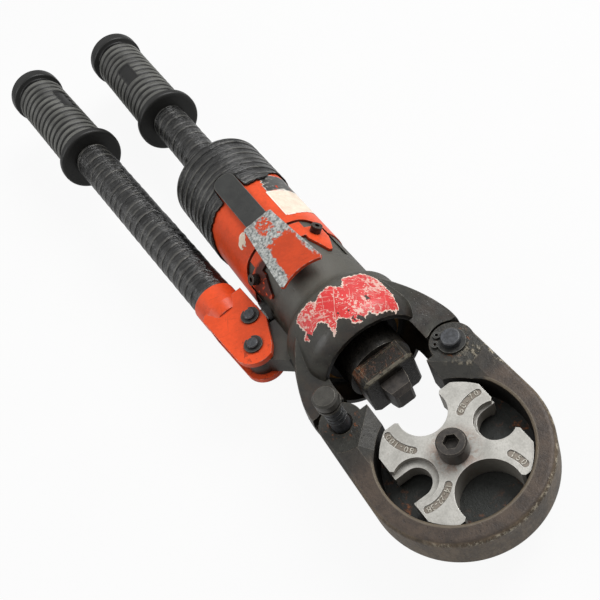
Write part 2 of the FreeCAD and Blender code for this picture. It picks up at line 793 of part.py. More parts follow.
def casting_bores():
    """Everything that is bored out of the casting."""
    mouth = rod(mouth_bore_radius, axial(gland_seat_x), axial(0))
    channel = block(casting_mouth_x, 0, -tongue_inner_y, tongue_inner_y, -cutter_reach, cutter_reach)
    gland = rod(gland_outer_radius + seat_gap, axial(gland_seat_x - gland_length), axial(0))
    cylinder = rod(ram_piston_radius + running_fit, axial(cylinder_end_x), axial(0))
    plunger_bore = rod(plunger_radius + running_fit, point(plunger_x, plunger_chamber_y, axis_z),
                       point(plunger_x, -cutter_reach, axis_z))
    gland_bore = rod(pump_gland_radius + seat_gap, point(plunger_x, pump_gland_inner_y, axis_z),
                     point(plunger_x, -cutter_reach, axis_z))
    delivery = rod(valve_port_radius, axial(plunger_x), axial(cylinder_end_x + 1))
    suction = rod(valve_port_radius, axial(spigot_rear_x - 1), axial(plunger_x))
    suction_seat = rod(valve_bore_radius, axial(spigot_rear_x - 1), axial(plunger_x - suction_seat_distance))
    fulcrum_hole = rod(lever_pin_radius + running_fit, point(fulcrum_x, fulcrum_y, -20),
                       point(fulcrum_x, fulcrum_y, 50))
    bores = [mouth, channel, gland, cylinder, plunger_bore, gland_bore, delivery, suction,
             suction_seat, fulcrum_hole]
    for sign in (1, -1):
        centre = (pin_x, sign * pin_half_spacing)
        clearance = pin_hole_clearance if sign > 0 else latch_hole_clearance
        bores.append(rod(pin_radius + clearance, point(*centre, -30), point(*centre, 60)))
        relief = lug_radius + tongue_end_gap
        bores.append(rod(relief, point(*centre, tongue_top_z), point(*centre, 60)))
        bores.append(rod(relief, point(*centre, -30), point(*centre, tongue_bottom_z)))
    valve = [rod(valve_pin_radius + running_fit, axial(valve_pin_x, valve_bore_bottom),
                 axial(valve_pin_x, 40)),
             rod(valve_spring_bore_radius, axial(valve_pin_x, valve_spring_seat_height),
                 axial(valve_pin_x, 40))]
    for sign in (1, -1):
        valve.append(rod(bracket_screw_radius + seat_gap,
                         axial(bracket_screw_x, spigot_radius - 7, sign * bracket_screw_angle),
                         axial(bracket_screw_x, 40, sign * bracket_screw_angle)))
    bores.extend(rolled(cutter) for cutter in valve)
    return bores


def cylinder_body():
    spigot = rod(spigot_radius, axial(spigot_rear_x), axial(spigot_front_x + 1))
    body = join(casting_envelope(), casting_cheeks(), spigot, fulcrum_lug(), *casting_tongues())
    flat = rolled(bracket_seat_cutter())
    body = body.cut(flat)
    for cutter in casting_bores():
        body = body.cut(cutter)
    return body


def bracket_seat_cutter():
    """Shallow turned seat around the top of the barrel for the release bracket."""
    ring = pipe(barrel_radius + 6, spigot_radius, axial(spigot_front_x - 1), axial(bracket_tip_x + 3))
    top = block(spigot_front_x - 1, bracket_tip_x + 3, -scallop_half_width, scallop_half_width,
                axis_z, axis_z + 60)
    return ring.common(top)


# Ram group


def ram_gland():
    return pipe(gland_outer_radius, ram_radius + running_fit, axial(gland_seat_x - gland_length),
                axial(gland_seat_x))


def ram():
    rear = ram_rear_x
    shaft = rod(ram_radius, axial(rear), axial(block_rear_x))
    piston = rod(ram_piston_radius, axial(rear), axial(rear + ram_piston_length))
    bore = rod(spring_bore_radius, axial(rear - 1), axial(spring_bore_end_x))
    seal_x = rear + ram_piston_length / 2
    groove = pipe(ram_piston_radius + 1, ram_piston_radius - seal_depth, axial(seal_x - seal_width / 2),
                  axial(seal_x + seal_width / 2))
    screw_bore = rod(punch_screw_radius + seat_gap, axial(block_rear_x - 6), axial(block_rear_x + 1))
    return join(shaft, piston).cut(bore).cut(groove).cut(screw_bore)


def ram_seal():
    seal_x = ram_rear_x + ram_piston_length / 2
    half = seal_width / 2 - seal_end_gap
    return pipe(ram_piston_radius + running_fit / 2, ram_piston_radius - seal_depth, axial(seal_x - half),
                axial(seal_x + half))


def ram_wiper():
    """Lip ring in front of the gland that wipes the ram."""
    return pipe(gland_outer_radius - 2.5, ram_radius + running_fit, axial(gland_seat_x),
                axial(gland_seat_x + 2.5))


def punch_holder():
    body = block(block_rear_x, block_front_x, -block_half_width, block_half_width,
                 axis_z - block_half_height, axis_z + block_half_height)
    long_edges = [e for e in body.Edges if e.BoundBox.XMax - e.BoundBox.XMin > 1]
    body = body.makeChamfer(block_corner, long_edges)
    front = [e for e in body.Edges if e.BoundBox.XMin > block_front_x - 0.01]
    body = body.makeChamfer(block_front_chamfer, front)
    screw_bore = rod(punch_screw_radius + seat_gap, axial(block_rear_x - 1), axial(block_front_x + 1))
    inset = block_corner + block_top_rim
    recess = block(block_rear_x + block_top_rim, block_front_x - block_top_rim - block_front_chamfer,
                   -block_half_width + inset, block_half_width - inset,
                   axis_z + block_half_height - block_top_recess, axis_z + 30)
    return body.cut(screw_bore).cut(recess)


def punch():
    root = [(block_front_x, -punch_root_half_width), (block_front_x + 4, -punch_root_half_width + 0.4),
            (punch_tip_x - punch_tip_break, -punch_tip_half_width),
            (punch_tip_x, -punch_tip_half_width + punch_tip_break)]
    outline = root + [(x, -y) for x, y in reversed(root)]
    nose = plate(outline, axis_z - punch_half_height, axis_z + punch_half_height)
    side = [(block_front_x, punch_half_height), (punch_tip_x - 2.2, punch_half_height),
            (punch_tip_x, punch_half_height - 2.2)]
    side = side + [(x, -h) for x, h in reversed(side)]
    corners = [point(x, -20, axis_z + h) for x, h in side]
    wire = Part.makePolygon(corners + [corners[0]])
    nose = nose.common(Part.Face(wire).extrude(point(0, 40, 0)))
    screw_bore = rod(punch_screw_radius + seat_gap, axial(block_front_x - 1), axial(block_front_x + 5))
    return nose.cut(screw_bore)


def punch_screw():
    return rod(punch_screw_radius, axial(block_rear_x - 5.8), axial(block_front_x + 4.8))


def return_spring():
    length = spring_bore_end_x - cylinder_end_x
    return coil(return_spring_radius, return_spring_wire, length, return_spring_turns,
                axial(cylinder_end_x), along_x)


# Pump group


def pump_gland():
    mouth_y = -barrel_radius - pump_gland_stand_out
    return pipe(pump_gland_radius, plunger_radius + running_fit, point(plunger_x, mouth_y, axis_z),
                point(plunger_x, pump_gland_inner_y, axis_z))


def pump_plunger():
    shaft = rod(plunger_radius, point(plunger_x, plunger_inner_y, axis_z),
                point(plunger_x, drive_y + 1, axis_z))
    clevis = block(plunger_x - clevis_half_length, plunger_x + clevis_half_length,
                   drive_y - clevis_half_depth, drive_y + clevis_half_depth,
                   axis_z - clevis_half_thickness, axis_z + clevis_half_thickness)
    upright = [e for e in clevis.Edges if e.BoundBox.ZMax - e.BoundBox.ZMin > 1]
    clevis = clevis.makeFillet(2.0, upright)
    opening = lever_pin_radius + slot_clearance
    low = axis_z - clevis_half_thickness - 1
    high = axis_z + clevis_half_thickness + 1
    ends = [rod(opening, point(x, drive_y, low), point(x, drive_y, high))
            for x in (plunger_x - slot_half_travel, plunger_x + slot_half_travel)]
    middle = block(plunger_x - slot_half_travel, plunger_x + slot_half_travel,
                   drive_y - opening, drive_y + opening, low, high)
    groove_y = plunger_inner_y - plunger_seal_start
    groove = pipe(plunger_radius + 1, plunger_radius - plunger_seal_depth,
                  point(plunger_x, groove_y, axis_z),
                  point(plunger_x, groove_y - plunger_seal_width, axis_z))
    return join(shaft, clevis).cut(join(middle, *ends)).cut(groove)


def plunger_seal():
    start = plunger_inner_y - plunger_seal_start - seal_end_gap
    end = plunger_inner_y - plunger_seal_start - plunger_seal_width + seal_end_gap
    return pipe(plunger_radius + running_fit / 2, plunger_radius - plunger_seal_depth,
                point(plunger_x, start, axis_z), point(plunger_x, end, axis_z))


def suction_ball():
    return Part.makeSphere(valve_ball_radius, axial(suction_ball_rear_x + valve_ball_radius))


def suction_spring():
    start = suction_ball_rear_x - suction_spring_gap
    return coil(valve_bore_radius - valve_spring_gap, valve_spring_wire, valve_spring_length,
                valve_spring_turns, axial(start - valve_spring_length), along_x)


def suction_plug():
    start = suction_ball_rear_x - 2 * suction_spring_gap - valve_spring_length
    return pipe(valve_bore_radius - seat_gap, valve_port_radius, axial(spigot_rear_x), axial(start))


# Pump lever group


def lever_yoke():
    x0 = fulcrum_x
    y0 = fulcrum_y
    bottom = axis_z - ear_half_height
    top = axis_z + ear_half_height
    outline = [(-ear_rear_distance, ear_inner_edge), (-9.0, ear_inner_edge), (6.0, 7.0), (10.0, 3.8),
               (0, 0), (0, -ear_tip_radius), (-ear_rear_distance, ear_outer_edge)]
    outline = [(x0 + x, y0 + y) for x, y in outline]
    ear = plate(outline, bottom, top)
    tip = rod(ear_tip_radius, point(x0, y0, bottom), point(x0, y0, top))
    tip = tip.common(block(x0, x0 + 20, y0 - 20, y0 + 3.8, bottom, top))
    ears = join(ear, tip)
    gap = block(x0 - web_front_distance, x0 + 20, y0 - 20, y0 + 20, bottom + ear_thickness,
                top - ear_thickness)
    trim = block(x0 - ear_rear_distance - 1, x0 - web_front_distance, y0 + web_inner_edge, y0 + 30,
                 bottom + ear_thickness, top - ear_thickness)
    ears = ears.cut(gap).cut(trim)
    rear_edges = [e for e in ears.Edges if e.BoundBox.ZMax - e.BoundBox.ZMin > 2 * ear_half_height - 0.1
                  and e.CenterOfMass.x < x0 - ear_rear_distance + 1 and e.CenterOfMass.y < y0]
    ears = ears.makeFillet(ear_rear_round, rear_edges)
    socket = Part.makeCone(socket_radius - 1.6, socket_radius, 6.0,
                           point(x0 - socket_front_distance + 3, y0, axis_z), point(-1, 0, 0))
    collar = rod(socket_radius, point(x0 - socket_front_distance - 3, y0, axis_z),
                 point(x0 - socket_rear_distance, y0, axis_z))
    body = join(ears, risen(socket), risen(collar))
    bore = rod(tube_radius + seat_gap, point(x0 - socket_front_distance - 1, y0, axis_z),
               point(x0 - socket_rear_distance - 1, y0, axis_z))
    body = body.cut(risen(bore))
    for hole_x, hole_y in ((x0, y0), (drive_x, drive_y)):
        unturned = point(hole_x, hole_y, 0)
        if hole_x != x0:
            unturned = lever_drawing_point(hole_x, hole_y)
        body = body.cut(rod(lever_pin_radius + seat_gap, point(unturned.x, unturned.y, bottom - 1),
                            point(unturned.x, unturned.y, top + 1)))
    return about_lever(body)


def lever_drawing_point(x, y):
    """Where a place on the lever at rest lies before the lever is turned to its rest angle."""
    turn = math.radians(-lever_close_angle)
    dx = x - fulcrum_x
    dy = y - fulcrum_y
    return point(fulcrum_x + dx * math.cos(turn) - dy * math.sin(turn),
                 fulcrum_y + dx * math.sin(turn) + dy * math.cos(turn), 0)


def lever_cross_pin(x, y):
    low = axis_z - ear_half_height - lever_pin_stand_out
    high = axis_z + ear_half_height + lever_pin_stand_out
    pin = rod(lever_pin_radius, point(x, y, low), point(x, y, high))
    ends = [e for e in pin.Edges if e.BoundBox.ZMax - e.BoundBox.ZMin < 0.01]
    pin = pin.makeChamfer(0.5, ends)
    for face, way in ((axis_z + ear_half_height, 1), (axis_z - ear_half_height, -1)):
        start = face + way * 0.1
        end = face + way * (0.2 + lever_clip_thickness)
        groove = pipe(lever_pin_radius + 1, lever_pin_radius - lever_clip_groove, point(x, y, start),
                      point(x, y, end))
        pin = pin.cut(groove)
    return pin


def lever_clips(x, y):
    clips = []
    for face, way in ((axis_z + ear_half_height, 1), (axis_z - ear_half_height, -1)):
        start = face + way * 0.12
        end = start + way * lever_clip_thickness
        ring = pipe(lever_clip_radius, lever_pin_radius - lever_clip_groove + seat_gap,
                    point(x, y, start), point(x, y, end))
        slot = block(x - 10, x - 1, y - 1.2, y + 1.2, min(start, end), max(start, end))
        ring = ring.cut(slot)
        clips.append(ring)
    return clips


def handle_tube(front_x, rear_x, y):
    return pipe(tube_radius, tube_radius - tube_wall, point(front_x, y, axis_z), point(rear_x, y, axis_z))


def tape_sleeve(front_x, rear_x, y):
    return pipe(taped_radius, tube_radius + seat_gap, point(front_x, y, axis_z), point(rear_x, y, axis_z))


def grip(flange_x, y):
    """Rubber grip from its flange back to its end cap, with ring ribs."""
    pitch = (grip_rib_end - grip_rib_start) / grip_rib_count
    profile = [(0, tube_radius + seat_gap), (0, grip_flange_radius - 1.8), (0.8, grip_flange_radius - 0.5),
               (2.2, grip_flange_radius), (3.8, grip_flange_radius - 0.4),
               (grip_flange_thickness, grip_flange_radius - 2.2), (grip_rib_start - 1.5, grip_base_radius)]
    for i in range(grip_rib_count):
        start = grip_rib_start + i * pitch
        profile.append((start, grip_base_radius))
        profile.append((start + pitch * 0.22, grip_rib_radius - 0.25))
        profile.append((start + pitch * 0.45, grip_rib_radius))
        profile.append((start + pitch * 0.68, grip_rib_radius - 0.25))
    profile += [(grip_rib_end, grip_base_radius), (grip_cap_start, grip_cap_radius - 0.6),
                (grip_cap_start + 2, grip_cap_radius), (grip_length - 3, grip_cap_radius),
                (grip_length - 0.8, grip_cap_radius - 1.6), (grip_length, grip_cap_radius - 4.5),
                (grip_length, 0), (grip_length - grip_end_wall, 0),
                (grip_length - grip_end_wall, tube_radius + seat_gap)]
    corners = [point(flange_x - s, y, axis_z + r) for s, r in profile]
    wire = Part.makePolygon(corners + [corners[0]])
    return Part.Face(wire).revolve(point(0, y, axis_z), along_x, 360)


# Reservoir group


def reservoir_sleeve():
    body = pipe(sleeve_radius, spigot_radius + seat_gap, axial(sleeve_rear_x), axial(spigot_front_x - 0.3))
    reach = 40
    inner = scallop_half_width - scallop_corner
    slot = block(scallop_x + scallop_corner, scallop_x + reach, -scallop_half_width, scallop_half_width,
                 axis_z, axis_z + reach)
    mid = block(scallop_x, scallop_x + reach, -inner, inner, axis_z, axis_z + reach)
    corners = [rod(scallop_corner, point(scallop_x + scallop_corner, y, axis_z),
                   point(scallop_x + scallop_corner, y, axis_z + reach)) for y in (-inner, inner)]
    body = body.cut(rolled(join(slot, mid, *corners)))
    plug_hole = rod(filler_plug_radius + seat_gap, axial(filler_plug_x, 10, filler_plug_angle),
                    axial(filler_plug_x, 40, filler_plug_angle))
    return body.cut(plug_hole)


def reservoir_end_cap():
    seat = spigot_radius
    profile = [(sleeve_rear_x + end_cap_length, 0), (sleeve_rear_x + end_cap_length, seat),
               (sleeve_rear_x, seat), (sleeve_rear_x, sleeve_radius), (sleeve_rear_x - 3.5, sleeve_radius),
               (end_cap_neck_x + 3, end_cap_neck_radius + 2.5), (end_cap_neck_x, end_cap_neck_radius),
               (end_cap_neck_x, 0)]
    body = turned(profile)
    socket = rod(tube_radius + seat_gap, axial(end_cap_neck_x - 1), axial(sleeve_rear_x - 2))
    return body.cut(socket)


def reservoir_tape():
    start = sleeve_rear_x - 3.5
    inner = sleeve_radius + seat_gap
    outer = inner + reservoir_tape_thickness
    profile = [(reservoir_tape_front_x, inner), (reservoir_tape_front_x, outer), (start, outer),
               (start - 0.9, outer), (end_cap_neck_x + 2.5, end_cap_neck_radius + 4.4),
               (end_cap_neck_x - 1.5, end_cap_neck_radius + 1.6), (end_cap_neck_x - 1.5, taped_radius),
               (end_cap_neck_x - 0.1, taped_radius),
               (end_cap_neck_x - 0.1, end_cap_neck_radius + 0.1),
               (end_cap_neck_x + 3, end_cap_neck_radius + 2.62), (start, inner)]
    body = turned(profile)
    strap_room = rolled(block(strap_rear_x - 1, reservoir_tape_front_x + 1, -strap_half_width - 0.3,
                              strap_half_width + 0.3, axis_z + 10, axis_z + 40))
    plug_room = rod(filler_plug_radius + 0.3, axial(filler_plug_x, 10, filler_plug_angle),
                    axial(filler_plug_x, 40, filler_plug_angle))
    return body.cut(strap_room).cut(plug_room)


def oil_bladder():
    outer = rod(bladder_radius, axial(bladder_rear_x + 6), axial(bladder_front_x))
    nose = Part.makeCone(bladder_radius, bladder_radius - 5, 5.0, axial(bladder_rear_x + 6), point(-1, 0, 0))
    inner = rod(bladder_radius - bladder_wall, axial(bladder_rear_x + 7), axial(bladder_front_x + 1))
    collar = pipe(spigot_radius - 0.1, bladder_radius - bladder_wall, axial(bladder_front_x),
                  axial(spigot_rear_x))
    return join(outer, nose, collar).cut(inner)


def filler_plug():
    stem = rod(filler_plug_radius, axial(filler_plug_x, spigot_radius - 2, filler_plug_angle),
               axial(filler_plug_x, sleeve_radius + filler_plug_stand_out, filler_plug_angle))
    return stem


def cover_strap():
    """Flat black strap with a round rear end along the top of the reservoir."""
    top = axis_z + sleeve_radius + strap_thickness
    low = axis_z + 10
    bar = block(strap_rear_x + strap_half_width, scallop_x, -strap_half_width, strap_half_width, low, top)
    end = rod(strap_half_width, point(strap_rear_x + strap_half_width, 0, low),
              point(strap_rear_x + strap_half_width, 0, top))
    body = join(bar, end).cut(rod(sleeve_radius + seat_gap, axial(strap_rear_x - 5), axial(scallop_x + 5)))
    return rolled(body)


# Release group


def release_bracket():
    inner = bracket_inner_radius
    outer = inner + bracket_thickness
    ring = pipe(outer, inner, axial(bracket_rear_x), axial(bracket_tip_x + 1))
    band = block(bracket_rear_x, bracket_front_x, -bracket_half_width, bracket_half_width,
                 axis_z + 10, axis_z + 40)
    shapes = [band]
    for sign in (1, -1):
        outline = [(bracket_rear_x + 5, -bracket_tab_half_width),
                   (bracket_shoulder_x, -bracket_tab_half_width),
                   (bracket_tip_x, -1.0), (bracket_tip_x, 1.0), (bracket_shoulder_x, bracket_tab_half_width),
                   (bracket_rear_x + 5, bracket_tab_half_width)]
        tab = plate(outline, axis_z + 15, axis_z + 40)
        tab.rotate(axial(0), along_x, sign * bracket_screw_angle)
        shapes.append(tab)
    body = ring.common(join(*shapes))
    centre_window = block(-200, 0, -bracket_ear_y + 0.3, bracket_ear_y - 0.3, axis_z + 10, axis_z + 40)
    window = centre_window.common(block(bracket_rear_x + 3, 0, -20, 20, axis_z, axis_z + 60))
    body = body.cut(window)
    for sign in (1, -1):
        y0 = sign * bracket_ear_y
        y1 = sign * (bracket_ear_y + bracket_ear_thickness)
        ear_low = axis_z + inner - 0.45
        ear = block(release_pivot_x - 2.6, release_pivot_x + 2.6, min(y0, y1), max(y0, y1),
                    ear_low, axis_z + release_pivot_height)
        crown = rod(2.6, point(release_pivot_x, y0, axis_z + release_pivot_height),
                    point(release_pivot_x, y1, axis_z + release_pivot_height))
        crown = crown.cut(block(-200, 0, -20, 20, axis_z + release_pivot_height + release_pivot_radius + 0.1,
                                axis_z + 60))
        ear = join(ear, crown).cut(rod(inner, axial(-200), axial(0)))
        body = join(body, ear)
    pivot_hole = rod(release_pivot_radius + seat_gap,
                     point(release_pivot_x, -20, axis_z + release_pivot_height),
                     point(release_pivot_x, 20, axis_z + release_pivot_height))
    body = body.cut(pivot_hole)
    for sign in (1, -1):
        body = body.cut(rod(bracket_screw_radius + seat_gap,
                            axial(bracket_screw_x, 10, sign * bracket_screw_angle),
                            axial(bracket_screw_x, 40, sign * bracket_screw_angle)))
    return rolled(body)


def bracket_screws():
    screws = []
    seat = bracket_inner_radius + bracket_thickness + 0.12
    for sign in (1, -1):
        angle = sign * bracket_screw_angle
        shank = rod(bracket_screw_radius, axial(bracket_screw_x, spigot_radius - 6.5, angle),
                    axial(bracket_screw_x, seat + 1, angle))
        head = rod(bracket_screw_head_radius, axial(bracket_screw_x, seat, angle),
                   axial(bracket_screw_x, seat + bracket_screw_head_height, angle))
        socket = plate(hexagon(bracket_socket_across_flats, bracket_screw_x),
                       axis_z + seat + bracket_socket_floor,
                       axis_z + seat + bracket_screw_head_height + 1)
        socket.rotate(axial(0), along_x, angle)
        screws.append(rolled(join(shank, head).cut(socket)))
    return screws


def release_lever():
    """Thumb plate with a drooping rear flap, a hollowed front edge and two cheeks."""
    rear = release_plate_rear_x
    front = release_plate_front_x
    low_rear = axis_z + release_plate_rear_height
    low_front = axis_z + release_plate_front_height
    thick = release_plate_thickness
    flap_x = rear - release_flap_length
    side = [(flap_x, low_rear - release_flap_drop), (rear, low_rear), (front, low_front),
            (front, low_front + thick), (rear, low_rear + thick),
            (flap_x, low_rear - release_flap_drop + thick)]
    corners = [point(x, -20, z) for x, z in side]
    wire = Part.makePolygon(corners + [corners[0]])
    slab = Part.Face(wire).extrude(point(0, 40, 0))
    outline = [(flap_x, -release_plate_rear_half_width + 1.2),
               (flap_x + 1.2, -release_plate_rear_half_width),
               (rear, -release_plate_rear_half_width), (front - 1.8, -release_plate_front_half_width),
               (front, -release_plate_front_half_width + 1.6)]
    outline = outline + [(x, -y) for x, y in reversed(outline)]
    shape = plate(outline, axis_z, axis_z + 60)
    hollow_x = front - release_front_hollow_depth + release_front_hollow_radius
    hollow = rod(release_front_hollow_radius, point(hollow_x, 0, axis_z), point(hollow_x, 0, axis_z + 60))
    body = slab.common(shape).cut(hollow)
    pivot_z = axis_z + release_pivot_height
    rise = (low_front - low_rear) / (front - rear)
    under = low_rear + rise * (release_pivot_x - rear)
    for sign in (1, -1):
        y0 = sign * release_cheek_y
        y1 = sign * (release_cheek_y + release_cheek_thickness)
        cheek = block(release_pivot_x - 2.5, release_pivot_x + 2.5, min(y0, y1), max(y0, y1),
                      pivot_z, under + 0.4)
        round_end = rod(2.5, point(release_pivot_x, y0, pivot_z), point(release_pivot_x, y1, pivot_z))
        ceiling = block(-200, 0, -20, 20, under + 0.4, under + 20)
        hole = rod(release_pivot_radius + running_fit, point(release_pivot_x, -20, pivot_z),
                   point(release_pivot_x, 20, pivot_z))
        body = join(body, join(cheek, round_end).cut(ceiling)).cut(hole)
    return rolled(body)


def release_pivot():
    reach = release_cheek_y + release_cheek_thickness + 0.8
    pin = rod(release_pivot_radius, point(release_pivot_x, -reach, axis_z + release_pivot_height),
              point(release_pivot_x, reach, axis_z + release_pivot_height))
    return rolled(pin)


def release_underside(x):
    """Height of the thumb plate's underside above the ram axis."""
    span = release_plate_front_x - release_plate_rear_x
    rise = release_plate_front_height - release_plate_rear_height
    return release_plate_rear_height + rise * (x - release_plate_rear_x) / span


def release_valve_pin():
    top = release_underside(valve_pin_x - valve_pin_head_radius) - valve_pin_top_gap
    stem = rod(valve_pin_radius, axial(valve_pin_x, valve_pin_bottom_height), axial(valve_pin_x, top - 0.5))
    head = rod(valve_pin_head_radius, axial(valve_pin_x, top - valve_pin_head_height),
               axial(valve_pin_x, top))
    rim = [e for e in head.Edges if abs(e.CenterOfMass.z - axis_z - top) < 0.01]
    head = head.makeChamfer(0.5, rim)
    return rolled(join(stem, head))


def release_spring():
    top = release_underside(valve_pin_x - valve_pin_head_radius) - valve_pin_top_gap - valve_pin_head_height
    spring = coil(release_spring_radius, release_spring_wire, top - valve_spring_seat_height,
                  release_spring_turns, axial(valve_pin_x, valve_spring_seat_height), up)
    return rolled(spring)


# Write every piece to its own file


def all_parts():
    lever_socket_x = fulcrum_x - socket_front_distance - 1
    lever_flange_x = fulcrum_x - lever_flange_distance
    lever_tape_front_x = fulcrum_x - socket_rear_distance
    fixed_tape_front_x = end_cap_neck_x - 1.6
    tube_end_gap = grip_length - grip_end_wall
    parts = {
        "cylinder_body": cylinder_body(),
        "ram_gland": ram_gland(),
        "ram_wiper": ram_wiper(),
        "ram": ram(),
        "ram_seal": ram_seal(),
        "return_spring": return_spring(),
        "punch_holder": punch_holder(),
        "punch": punch(),
        "punch_screw": punch_screw(),
        "head_frame": head_frame(),
        "rotary_die": rotary_die(),
        "die_bush": die_bush(),
        "die_screw": die_screw(),
        "detent_ball": detent_ball(),
        "hinge_pin": hinge_pin(),
        "hinge_circlip": hinge_circlip(),
        "latch_pin": latch_pin(),
        "latch_knob": latch_knob(),
        "latch_ring": latch_ring(),
        "pump_gland": pump_gland(),
        "pump_plunger": pump_plunger(),
        "plunger_seal": plunger_seal(),
        "suction_ball": suction_ball(),
        "suction_spring": suction_spring(),
        "suction_plug": suction_plug(),
        "lever_yoke": lever_yoke(),
        "fulcrum_pin": lever_cross_pin(fulcrum_x, fulcrum_y),
        "drive_pin": lever_cross_pin(drive_x, drive_y),
        "fulcrum_clips": Part.makeCompound(lever_clips(fulcrum_x, fulcrum_y)),
        "drive_clips": Part.makeCompound(lever_clips(drive_x, drive_y)),
        "lever_tube": about_lever(risen(handle_tube(lever_socket_x, lever_flange_x - tube_end_gap,
                                                    fulcrum_y))),
        "lever_tape": about_lever(risen(tape_sleeve(lever_tape_front_x, lever_flange_x, fulcrum_y))),
        "lever_grip": about_lever(risen(grip(lever_flange_x, fulcrum_y))),
        "fixed_tube": handle_tube(sleeve_rear_x - 2, fixed_flange_x - tube_end_gap, 0),
        "fixed_tape": tape_sleeve(fixed_tape_front_x, fixed_flange_x, 0),
        "fixed_grip": grip(fixed_flange_x, 0),
        "reservoir_sleeve": reservoir_sleeve(),
        "reservoir_end_cap": reservoir_end_cap(),
        "reservoir_tape": reservoir_tape(),
        "oil_bladder": oil_bladder(),
        "filler_plug": filler_plug(),
        "cover_strap": cover_strap(),
        "release_bracket": release_bracket(),
        "bracket_screws": Part.makeCompound(bracket_screws()),
        "release_lever": release_lever(),
        "release_pivot": release_pivot(),
        "release_valve_pin": release_valve_pin(),
        "release_spring": release_spring(),
    }
    return parts


def main():
    os.makedirs("parts", exist_ok=True)
    for node, shape in all_parts().items():
        shape.exportStep("parts/" + node + ".step")
        print(node, "solids", len(shape.Solids), "volume", round(shape.Volume, 1), "valid", shape.isValid())


main()
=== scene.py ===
"""Looks of a hand pumped hydraulic crimping tool, laid out as an add-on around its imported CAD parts."""

import math
import random

import bpy
import numpy as np
from bpy.props import FloatProperty, FloatVectorProperty, PointerProperty
from mathutils import Matrix, Vector
from mathutils.bvhtree import BVHTree


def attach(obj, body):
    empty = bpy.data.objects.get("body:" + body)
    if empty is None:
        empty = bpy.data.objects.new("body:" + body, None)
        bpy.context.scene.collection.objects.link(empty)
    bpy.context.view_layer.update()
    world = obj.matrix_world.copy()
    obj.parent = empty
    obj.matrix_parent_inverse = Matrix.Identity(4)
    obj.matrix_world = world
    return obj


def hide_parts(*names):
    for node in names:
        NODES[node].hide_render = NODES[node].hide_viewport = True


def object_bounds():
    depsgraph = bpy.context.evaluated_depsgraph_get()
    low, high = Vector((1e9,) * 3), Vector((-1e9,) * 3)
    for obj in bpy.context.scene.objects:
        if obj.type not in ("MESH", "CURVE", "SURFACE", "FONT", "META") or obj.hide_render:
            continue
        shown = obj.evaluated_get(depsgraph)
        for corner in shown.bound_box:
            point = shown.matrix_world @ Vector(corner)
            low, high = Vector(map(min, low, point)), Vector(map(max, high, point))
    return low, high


bl_info = {
    "name": "Hydraulic crimping tool",
    "version": (1, 0, 0),
    "blender": (4, 5, 0),
    "location": "3D View > Sidebar > Crimping tool",
    "description": "Finishes, tape, grips and labels of a hand pumped crimping tool",
    "category": "Object",
}

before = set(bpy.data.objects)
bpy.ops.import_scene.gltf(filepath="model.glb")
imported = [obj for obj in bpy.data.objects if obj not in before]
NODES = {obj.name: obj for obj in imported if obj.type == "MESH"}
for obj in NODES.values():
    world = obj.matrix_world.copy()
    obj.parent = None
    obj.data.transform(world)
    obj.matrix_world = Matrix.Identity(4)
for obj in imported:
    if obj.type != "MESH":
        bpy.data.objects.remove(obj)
CAD_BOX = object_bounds()

MM = 0.001
AXIS_Z = 12.5
TUBE_START = Vector((0.0, 0.0, AXIS_Z))
TUBE_ALONG = Vector((-1.0, 0.0, 0.0))
FULCRUM = Vector((-103.5, -40.35, AXIS_Z))
LEVER_CLOSE = math.radians(3.5)
LEVER_RISE = math.radians(1.4)
LEVER_LEVEL = Vector((-math.cos(LEVER_CLOSE), -math.sin(LEVER_CLOSE), 0.0))
LEVER_ALONG = LEVER_LEVEL * math.cos(LEVER_RISE) + Vector((0.0, 0.0, math.sin(LEVER_RISE)))
LEVER_BEND = 30.0
LEVER_START = FULCRUM + (LEVER_LEVEL - LEVER_ALONG) * LEVER_BEND
FLOOR_Z = CAD_BOX[0].z

# Places on the part that the finishes refer to, in mm
HINGE_SPOT = (-40.8, 30.15)
LATCH_SPOT = (-40.8, -30.15)
DIE_SPOT = (0.0, 0.0)
HEAD_SPOT = (-1.0, 0.0)
CAVITY_RADIUS = 33.2
HEAD_TOP_Z = 21.5
HEAD_FLOOR_Z = 5.7
BLOCK_RUST_SPOT = (-55.0, -12.0)
BLOCK_FRONT_X = -46.2
MOUTH_X = -66.0
MOUTH_HALF_WIDTH = 25.0
PUMP_SPOT = (-112.0, -36.0)
BRACKET_TAB_SPOT = (-124.0, -17.0)
YOKE_EAR_SPOT = (-100.0, -44.0)
PLATE_REAR_X = -147.5
PLATE_LENGTH = 45.0
NUMBER_FLOOR_Z = 18.62
CASTING_RADIUS = 30.7
SLEEVE_RADIUS = 26.0

# Camera that was worked out from the photograph
SENSOR_WIDTH = 36.0
PHOTO_WIDTH = 600.0
FOCAL_LENGTH_IN_PIXELS = 881.3
CAMERA_PLACE = Vector((156.51, -46.39, 351.26))
CAMERA_RIGHT = Vector((0.4987, 0.8088, -0.3117))
CAMERA_UP = Vector((-0.6005, 0.5817, 0.5486))
CAMERA_BACK = Vector((0.6250, -0.0864, 0.7758))

WHITE = (1.0, 1.0, 1.0, 1.0)


def tone(red, green, blue):
    """Linear colour of a finish written in the usual 0 to 255 steps."""
    steps = []
    for value in (red, green, blue):
        share = value / 255.0
        steps.append(share / 12.92 if share <= 0.04045 else ((share + 0.055) / 1.055) ** 2.4)
    return (*steps, 1.0)


# Node building


def fill(tree, node, values):
    """Links or sets each of the inputs that are named."""
    for label, value in values.items():
        socket = node.inputs[label]
        if isinstance(value, bpy.types.NodeSocket):
            tree.links.new(value, socket)
        else:
            socket.default_value = value


def place(tree, kind, inputs=None, **settings):
    """One shader node, with its settings and its inputs linked or set."""
    node = tree.nodes.new(kind)
    for name, value in settings.items():
        setattr(node, name, value)
    fill(tree, node, inputs or {})
    return node


